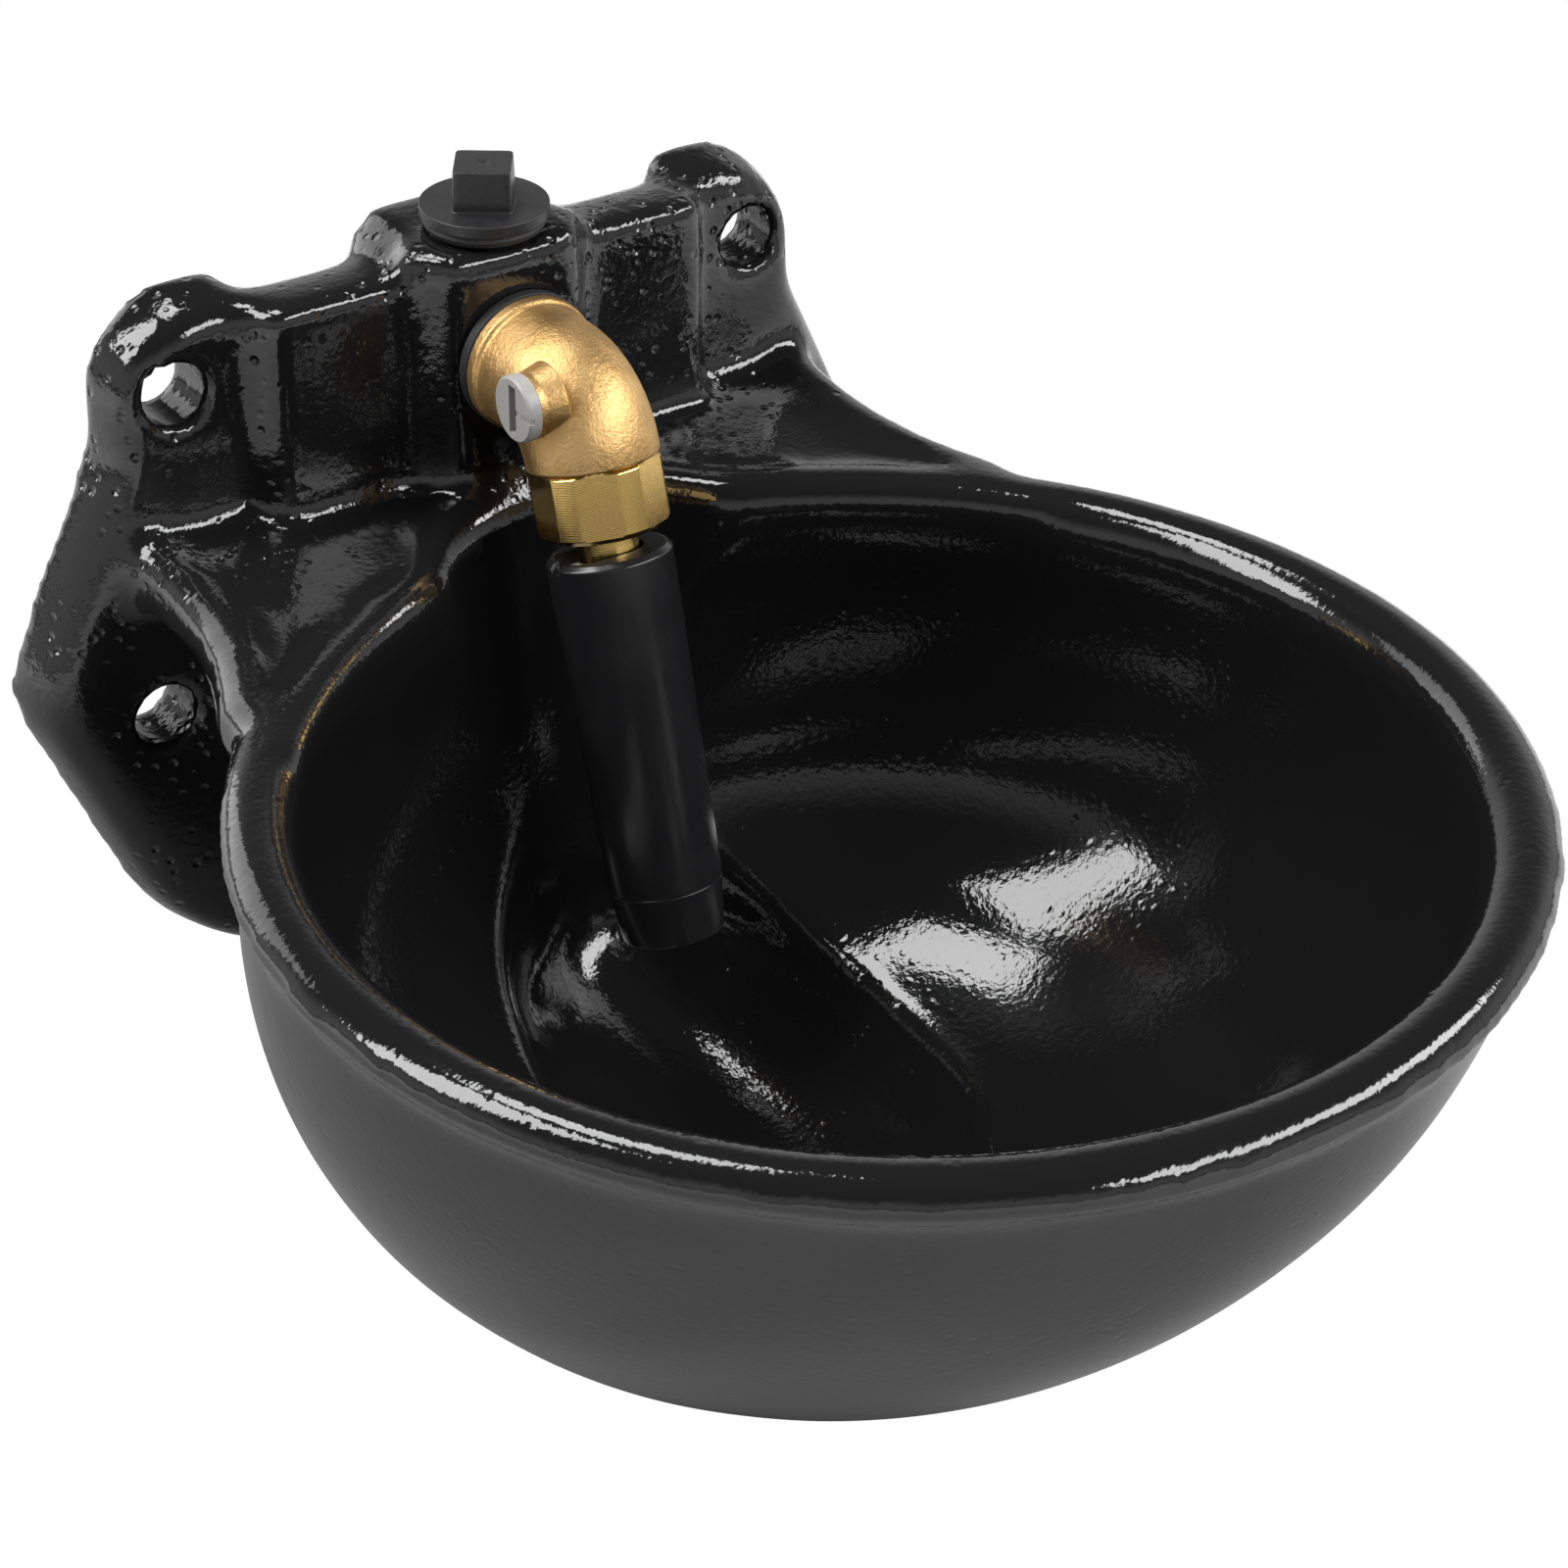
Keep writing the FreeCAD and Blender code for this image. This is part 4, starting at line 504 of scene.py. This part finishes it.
OUTLET_Y = -(BEND_CORNER + (BEND_REACH + ELBOW_LIP) * math.sin(VALVE_TILT))
OUTLET_Z = PORT_HEIGHT - (BEND_REACH + ELBOW_LIP) * math.cos(VALVE_TILT)
VALVE_UP = (0, math.sin(VALVE_TILT), math.cos(VALVE_TILT))
NUT_LENGTH = 15.6 * MM
NUT_FLATS = 27 * MM
NUT_CORNERS = 14.3 * MM
NUT_CHAMFER, NUT_CHAMFER_HEIGHT, NUT_TOP_CHAMFER = 2.0 * MM, 1.4 * MM, 0.9 * MM
NUT_BORE = 4.6 * MM
SPIGOT_RADIUS, SPIGOT = 10.4 * MM, 4 * MM
NECK_RADIUS = 6.75 * MM
FLANGE_RADIUS, FLANGE_TOP, FLANGE_THICK = 9.5 * MM, -23.8 * MM, 2.5 * MM
NUT_BRASS, NUT_ROUGHNESS = (0.70, 0.475, 0.155, 1.0), (0.12, 0.26)
RING_SCALE, RING_WOBBLE, RING_HEIGHT = 900, 1.5, 0.012 * MM
STROKE_SIZE, STROKE_STRETCH, STROKE_HEIGHT = 0.7 * MM, 0.12, 0.03 * MM


def hexagon(radius, heights, angle):
    """The turned radius, cut back to the flats of a hexagon wherever it would stand outside them."""
    past_flat = (angle + math.pi / 6) % (math.pi / 3) - math.pi / 6
    return np.minimum(radius, NUT_FLATS / 2 / np.cos(past_flat))


def turned_brass():
    """Bright machined brass: fine rings round the valve's axis and fainter strokes along it."""
    bright = material_of("turned_brass", NUT_BRASS, 0.17, 1.0)
    place = object_place(bright)
    lean = object_place(bright, (1, 1, 1), (VALVE_TILT, 0, 0))
    rings = add_node(bright, "ShaderNodeTexWave", bands_direction="Z")
    rings.inputs["Scale"].default_value = RING_SCALE
    rings.inputs["Distortion"].default_value = RING_WOBBLE
    link(bright, lean, rings.inputs["Vector"])
    normal = raise_surface(bright, rings.outputs["Fac"], RING_HEIGHT)
    strokes = object_place(bright, (1, 1, STROKE_STRETCH), (VALVE_TILT, 0, 0.5))
    normal = raise_surface(bright, grain(bright, strokes, STROKE_SIZE, 2.0), STROKE_HEIGHT, normal)
    to_shader(bright, normal, "Normal")
    to_shader(bright, over_noise(bright, grain(bright, place, 2 * MM), *NUT_ROUGHNESS), "Roughness")
    return bright


BRIGHT = turned_brass()
valve_axis = straight((0, OUTLET_Y, OUTLET_Z), VALVE_UP, (1, 0, 0))
nut = turned(
    "valve_nut_turned",
    [
        (NUT_BORE, FLANGE_TOP - FLANGE_THICK),
        (FLANGE_RADIUS, FLANGE_TOP - FLANGE_THICK),
        (FLANGE_RADIUS, FLANGE_TOP),
        (NECK_RADIUS, FLANGE_TOP),
        (NECK_RADIUS, -NUT_LENGTH),
        (NUT_CORNERS - NUT_CHAMFER, -NUT_LENGTH),
        (NUT_CORNERS, -NUT_LENGTH + NUT_CHAMFER_HEIGHT),
        (NUT_CORNERS, -NUT_TOP_CHAMFER),
        (NUT_CORNERS - NUT_TOP_CHAMFER, 0),
        (SPIGOT_RADIUS, 0),
        (SPIGOT_RADIUS, SPIGOT),
        (NUT_BORE, SPIGOT),
    ],
    valve_axis,
    soften=0.25 * MM,
    turns=288,
    outline=hexagon,
)
finish_piece(nut, BRIGHT, "root", "turned_brass", "valve_nut")

# The drinking tube and its tip: the long black plastic tube that the animal pushes.
# It is turned from plastic pipe, slightly tapered, with a chamfered and notched top rim; the tip is
# a separate moulded end pressed into its foot.

TUBE_TOP, TUBE_FOOT = -19.8 * MM, -95.8 * MM
TUBE_TOP_RADIUS, TUBE_LOW_RADIUS = 13.75 * MM, 12.6 * MM
TUBE_WALL = 2.2 * MM
TUBE_CHAMFER = 1.2 * MM
TUBE_BORE = 10.4 * MM
COLLAR_ROOM_END, BORE_START = -38 * MM, -39 * MM
NOTCH_HALF, NOTCH_DEPTH = 1.5 * MM, 2.4 * MM
TIP_LENGTH, TIP_RADIUS, TIP_WALL = 12 * MM, 11.2 * MM, 2.0 * MM
PRESSED_IN, PRESSED_RADIUS, PRESSED_BORE = 6 * MM, 10.3 * MM, 8.6 * MM
TUBE_BLACK, TUBE_ROUGHNESS = (0.010, 0.010, 0.011, 1.0), (0.18, 0.30)
DRAWN_SIZE, DRAWN_STRETCH, DRAWN_HEIGHT = 1.2 * MM, 0.04, 0.03 * MM


def notched(heights, angle):
    """Lowers the top rim to the notch's floor where the notch is, on the tube's left side."""
    aside = np.abs(angle - math.pi) * TUBE_TOP_RADIUS
    floor_height = TUBE_TOP - NOTCH_DEPTH
    return np.where(aside < NOTCH_HALF, np.maximum(heights - floor_height, 0), 0)


def black_tube_plastic():
    """Smooth black plastic with faint lengthwise drawing lines."""
    plastic = material_of("black_tube_plastic", TUBE_BLACK, 0.24)
    lengthwise = object_place(plastic, (1, 1, DRAWN_STRETCH), (VALVE_TILT, 0, 0))
    normal = raise_surface(plastic, grain(plastic, lengthwise, DRAWN_SIZE), DRAWN_HEIGHT)
    to_shader(plastic, normal, "Normal")
    place = object_place(plastic)
    to_shader(plastic, over_noise(plastic, grain(plastic, place, 12 * MM), *TUBE_ROUGHNESS), "Roughness")
    return plastic


TUBE_PLASTIC = black_tube_plastic()
tube = turned(
    "drinking_tube",
    [
        (TUBE_BORE, TUBE_FOOT),
        (TUBE_LOW_RADIUS, TUBE_FOOT),
        (TUBE_TOP_RADIUS, TUBE_TOP - TUBE_CHAMFER),
        (TUBE_TOP_RADIUS - TUBE_CHAMFER, TUBE_TOP),
        (TUBE_TOP_RADIUS - TUBE_WALL, TUBE_TOP),
        (TUBE_TOP_RADIUS - TUBE_WALL, COLLAR_ROOM_END),
        (TUBE_BORE, BORE_START),
    ],
    valve_axis,
    turns=180,
    sink=notched,
)
finish_piece(tube, TUBE_PLASTIC, "drink_tube", "tube_plastic", "valve_tube")
tip = turned(
    "drinking_tube_tip",
    [
        (TIP_RADIUS - TIP_WALL, TUBE_FOOT - TIP_LENGTH),
        (TIP_RADIUS, TUBE_FOOT - TIP_LENGTH),
        (TUBE_LOW_RADIUS, TUBE_FOOT),
        (PRESSED_RADIUS, TUBE_FOOT),
        (PRESSED_RADIUS, TUBE_FOOT + PRESSED_IN),
        (PRESSED_BORE, TUBE_FOOT + PRESSED_IN),
    ],
    valve_axis,
    soften=0.45 * MM,
    turns=128,
)
finish_piece(tip, TUBE_PLASTIC, "drink_tube", "tube_plastic", "tube_tip")

# The top plug: a moulded black plastic pipe plug with a square head, on a rubber ring.
# The head tapers a little and has a shallow dimple on top; the threaded skirt below is hollow.

PLUG_Y, PLUG_UNDER = -22 * MM, 26.4 * MM
PLUG_TURN = math.radians(-34.3)
PLUG_FLANGE, PLUG_FLANGE_RADIUS = 2.6 * MM, 14 * MM
HEAD_TOP = PLUG_FLANGE + 8.9 * MM
HEAD_HALF_TOP, HEAD_HALF_FOOT = 6.15 * MM, 6.5 * MM
DIMPLE_RADIUS, DIMPLE_DEPTH = 1.5 * MM, 0.5 * MM
SKIRT_RADIUS, SKIRT_BORE = 10.4 * MM, 7.9 * MM
SKIRT_END, SKIRT_FLOOR = -13.6 * MM, -1.6 * MM
SQUARENESS, HEAD_ROOM = 14, 0.5 * MM
PLUG_BLACK = (0.011, 0.011, 0.012, 1.0)
RING_BORE, RING_RADIUS, RING_BULGE, RING_THICK = 10.6 * MM, 12.8 * MM, 13.4 * MM, 2.6 * MM


def square(radius, heights, angle):
    """Above the flange's top the round becomes a rounded square of the same half width.

    The square is a superellipse: the half width, divided by the n-th root of the n-th powers of cosine
    and sine added up. A high n gives tight corners.
    """
    powers = np.abs(np.cos(angle)) ** SQUARENESS + np.abs(np.sin(angle)) ** SQUARENESS
    in_head = (heights > PLUG_FLANGE - 0.05 * MM) & (radius < HEAD_HALF_FOOT + HEAD_ROOM)
    return np.where(in_head, radius * powers ** (-1 / SQUARENESS), radius)


def moulded_plastic(name, colour, roughness):
    """Moulded plastic with a fine spark-eroded grain."""
    plastic = material_of(name, colour, roughness)
    place = object_place(plastic)
    normal = raise_surface(plastic, grain(plastic, place, 0.5 * MM, 2.0), 0.05 * MM)
    to_shader(plastic, normal, "Normal")
    patches = grain(plastic, place, 4 * MM)
    to_shader(plastic, over_noise(plastic, patches, roughness - 0.06, roughness + 0.08), "Roughness")
    return plastic


PLUG_PLASTIC = moulded_plastic("black_plug_plastic", PLUG_BLACK, 0.38)
plug_axis = straight((0, PLUG_Y, PLUG_UNDER), (0, 0, 1), (math.cos(PLUG_TURN), math.sin(PLUG_TURN), 0))
plug = turned(
    "top_plug_moulded",
    [
        (0, HEAD_TOP - DIMPLE_DEPTH),
        (DIMPLE_RADIUS, HEAD_TOP),
        (HEAD_HALF_TOP, HEAD_TOP),
        (HEAD_HALF_FOOT, PLUG_FLANGE),
        (PLUG_FLANGE_RADIUS, PLUG_FLANGE),
        (PLUG_FLANGE_RADIUS, 0),
        (SKIRT_RADIUS, 0),
        (SKIRT_RADIUS, SKIRT_END),
        (SKIRT_BORE, SKIRT_END),
        (SKIRT_BORE, SKIRT_FLOOR),
        (0, 0),
    ],
    plug_axis,
    turns=192,
    outline=square,
)
finish_piece(plug, PLUG_PLASTIC, "root", "black_plastic", "top_plug")
plug_seal = turned(
    "top_plug_seal_ring",
    [
        (RING_BORE, -RING_THICK),
        (RING_RADIUS, -RING_THICK),
        (RING_BULGE, -RING_THICK / 2),
        (RING_RADIUS, 0),
        (RING_BORE, 0),
    ],
    plug_axis,
)
finish_piece(plug_seal, RUBBER, "root", "seal_rubber", "top_plug_seal")

# The flow screw and the valve's inner pieces keep their CAD shapes and get their real finishes:
# grey or white moulded plastic, black rubber, black plastic and stainless steel.

SCREW_GREY, VALVE_WHITE, STEEL_GREY = (0.30, 0.295, 0.28, 1), (0.75, 0.75, 0.72, 1), (0.55, 0.55, 0.55, 1)
GREY_PLASTIC = moulded_plastic("grey_screw_plastic", SCREW_GREY, 0.42)
WHITE_PLASTIC = moulded_plastic("white_valve_plastic", VALVE_WHITE, 0.4)
STEEL = material_of("stainless_steel", STEEL_GREY, 0.25, 1.0)
FINISHES = {
    "flow_screw": GREY_PLASTIC,
    "flow_screw_o_ring": RUBBER,
    "inlet_strainer": WHITE_PLASTIC,
    "nut_gasket": RUBBER,
    "valve_seat": RUBBER,
    "valve_disc": WHITE_PLASTIC,
    "valve_pin": STEEL,
    "pin_foot": WHITE_PLASTIC,
    "valve_cage": WHITE_PLASTIC,
    "valve_spring": STEEL,
    "glide_ring": WHITE_PLASTIC,
    "tube_collar": PLUG_PLASTIC,
    "tube_bridge": PLUG_PLASTIC,
}
for name, material in FINISHES.items():
    nodes[name].data.materials.clear()
    nodes[name].data.materials.append(material)

# The studio: a white floor, three soft boxes above, a panel behind and the photo's camera.
# Floor and world are white to the camera and grey to the enamel, like the room round the real one; the
# floor's grey has a painted shadow under the bowl.

WHITE = (1, 1, 1, 1)
FLOOR_HALF, FLOOR_GAP = 30.0, 0.5 * MM
SHADE_START, SHADE_END = 0.12, 0.65
SHADE_COLOUR, OPEN_COLOUR = 0.13, 0.75
STUDIO_LIGHT, BACKDROP_LIGHT = 0.3, 1.0
WALL_SHINE, CEILING_SHINE = 0.7, 0.06
WALL_FADE, WALL_TOP = 0.2, 0.62
BOWL_MIDDLE = Vector((0, -0.12, -0.1))
LENS, SENSOR = 90.74, 36
CAMERA_PLACE = Vector((-0.38822, -0.69278, 0.38168))
CAMERA_RIGHT = Vector((0.82506, -0.56485, 0.01466))
CAMERA_UP = Vector((0.29646, 0.45483, 0.83979))


def white_to_camera():
    """Plain white where the camera looks at it; to every other ray grey, with a painted shadow that darkens
    it under the bowl.
    """
    paper = material_of("floor_white", WHITE, 0.9)
    glow = add_node(paper, "ShaderNodeEmission")
    ray = add_node(paper, "ShaderNodeLightPath")
    choice = add_node(paper, "ShaderNodeMixShader")
    away = add_node(paper, "ShaderNodeVectorMath", operation="LENGTH")
    link(paper, object_place(paper), away.inputs[0])
    # Painted shadow: the floor's grey is darkest near the bowl and lightens with distance, in place of the
    # bowl's cast shadow.
    shade = spread(paper, away.outputs["Value"], SHADE_START, SHADE_END, SHADE_COLOUR, OPEN_COLOUR)
    to_shader(paper, shade, "Base Color")
    link(paper, ray.outputs["Is Camera Ray"], choice.inputs["Fac"])
    link(paper, paper.node_tree.nodes["Principled BSDF"].outputs["BSDF"], choice.inputs[1])
    link(paper, glow.outputs["Emission"], choice.inputs[2])
    link(paper, choice.outputs["Shader"], paper.node_tree.nodes["Material Output"].inputs["Surface"])
    return paper


def studio_walls():
    """A white world whose strength depends on who asks.

    Diffuse rays get the studio's even light. Glossy rays see bright walls that fade smoothly to a dark
    ceiling, by the upward part of their direction. The camera sees plain white.
    """
    world = bpy.data.worlds.new("studio")
    world.use_nodes = True
    background = world.node_tree.nodes["Background"]
    background.inputs["Color"].default_value = WHITE
    ray = add_node(world, "ShaderNodeLightPath")
    way = add_node(world, "ShaderNodeTexCoord")
    split = add_node(world, "ShaderNodeSeparateXYZ")
    fade = add_node(world, "ShaderNodeMapRange", interpolation_type="SMOOTHSTEP")
    for limit, value in zip(
        ("From Min", "From Max", "To Min", "To Max"), (WALL_FADE, WALL_TOP, WALL_SHINE, CEILING_SHINE)
    ):
        fade.inputs[limit].default_value = value
    lit = add_node(world, "ShaderNodeMix")
    lit.inputs["A"].default_value = STUDIO_LIGHT
    seen = add_node(world, "ShaderNodeMix")
    seen.inputs["B"].default_value = BACKDROP_LIGHT
    link(world, way.outputs["Generated"], split.inputs["Vector"])
    link(world, split.outputs["Z"], fade.inputs["Value"])
    link(world, ray.outputs["Is Glossy Ray"], lit.inputs["Factor"])
    link(world, fade.outputs["Result"], lit.inputs["B"])
    link(world, ray.outputs["Is Camera Ray"], seen.inputs["Factor"])
    link(world, lit.outputs["Result"], seen.inputs["A"])
    link(world, seen.outputs["Result"], background.inputs["Strength"])
    return world


def soft_box(name, towards, distance, width, height, radiance):
    """A rectangular lamp that faces the bowl; towards is its direction as seen from there."""
    lamp = bpy.data.lights.new(name, "AREA")
    lamp.shape = "RECTANGLE"
    lamp.size = width
    lamp.size_y = height
    lamp.energy = radiance * math.pi * width * height
    holder = bpy.data.objects.new(name, lamp)
    bpy.context.scene.collection.objects.link(holder)
    direction = Vector(towards).normalized()
    holder.location = BOWL_MIDDLE + direction * distance
    holder.rotation_mode = "QUATERNION"
    holder.rotation_quaternion = (-direction).to_track_quat("-Z", "Y")


def photo_camera():
    """The camera that the photo was taken with, solved from the rim, the plug and the bolt holes."""
    lens = bpy.data.cameras.new("photo_camera")
    lens.sensor_width = SENSOR
    lens.lens = LENS
    lens.clip_start = 0.01
    camera = bpy.data.objects.new("photo_camera", lens)
    bpy.context.scene.collection.objects.link(camera)
    axes = Matrix((CAMERA_RIGHT, CAMERA_UP, CAMERA_RIGHT.cross(CAMERA_UP))).transposed()
    camera.matrix_world = Matrix.Translation(CAMERA_PLACE) @ axes.to_4x4()
    return camera


corners = [(-1, -1), (1, -1), (1, 1), (-1, 1)]
floor_mesh = bpy.data.meshes.new("studio_floor")
floor_mesh.from_pydata(
    [(x * FLOOR_HALF, y * FLOOR_HALF, cad_low.z - FLOOR_GAP) for x, y in corners], [], [(0, 1, 2, 3)]
)
floor_mesh.materials.append(white_to_camera())
floor = bpy.data.objects.new("studio_floor", floor_mesh)
bpy.context.scene.collection.objects.link(floor)

bpy.context.scene.world = studio_walls()
soft_box("box_left", towards=(-0.62, 0.32, 0.71), distance=2.0, width=0.75, height=1.4, radiance=12)
soft_box("box_overhead", towards=(-0.08, 0.33, 0.94), distance=1.8, width=0.5, height=0.6, radiance=12)
soft_box("box_front_right", towards=(0.5, -0.55, 0.67), distance=2.0, width=2.6, height=0.45, radiance=13)
soft_box("panel_behind", towards=(-0.25, 0.92, 0.36), distance=2.5, width=1.2, height=1.5, radiance=2)
bpy.context.scene.camera = photo_camera()
bpy.context.scene.view_settings.view_transform = "Standard"
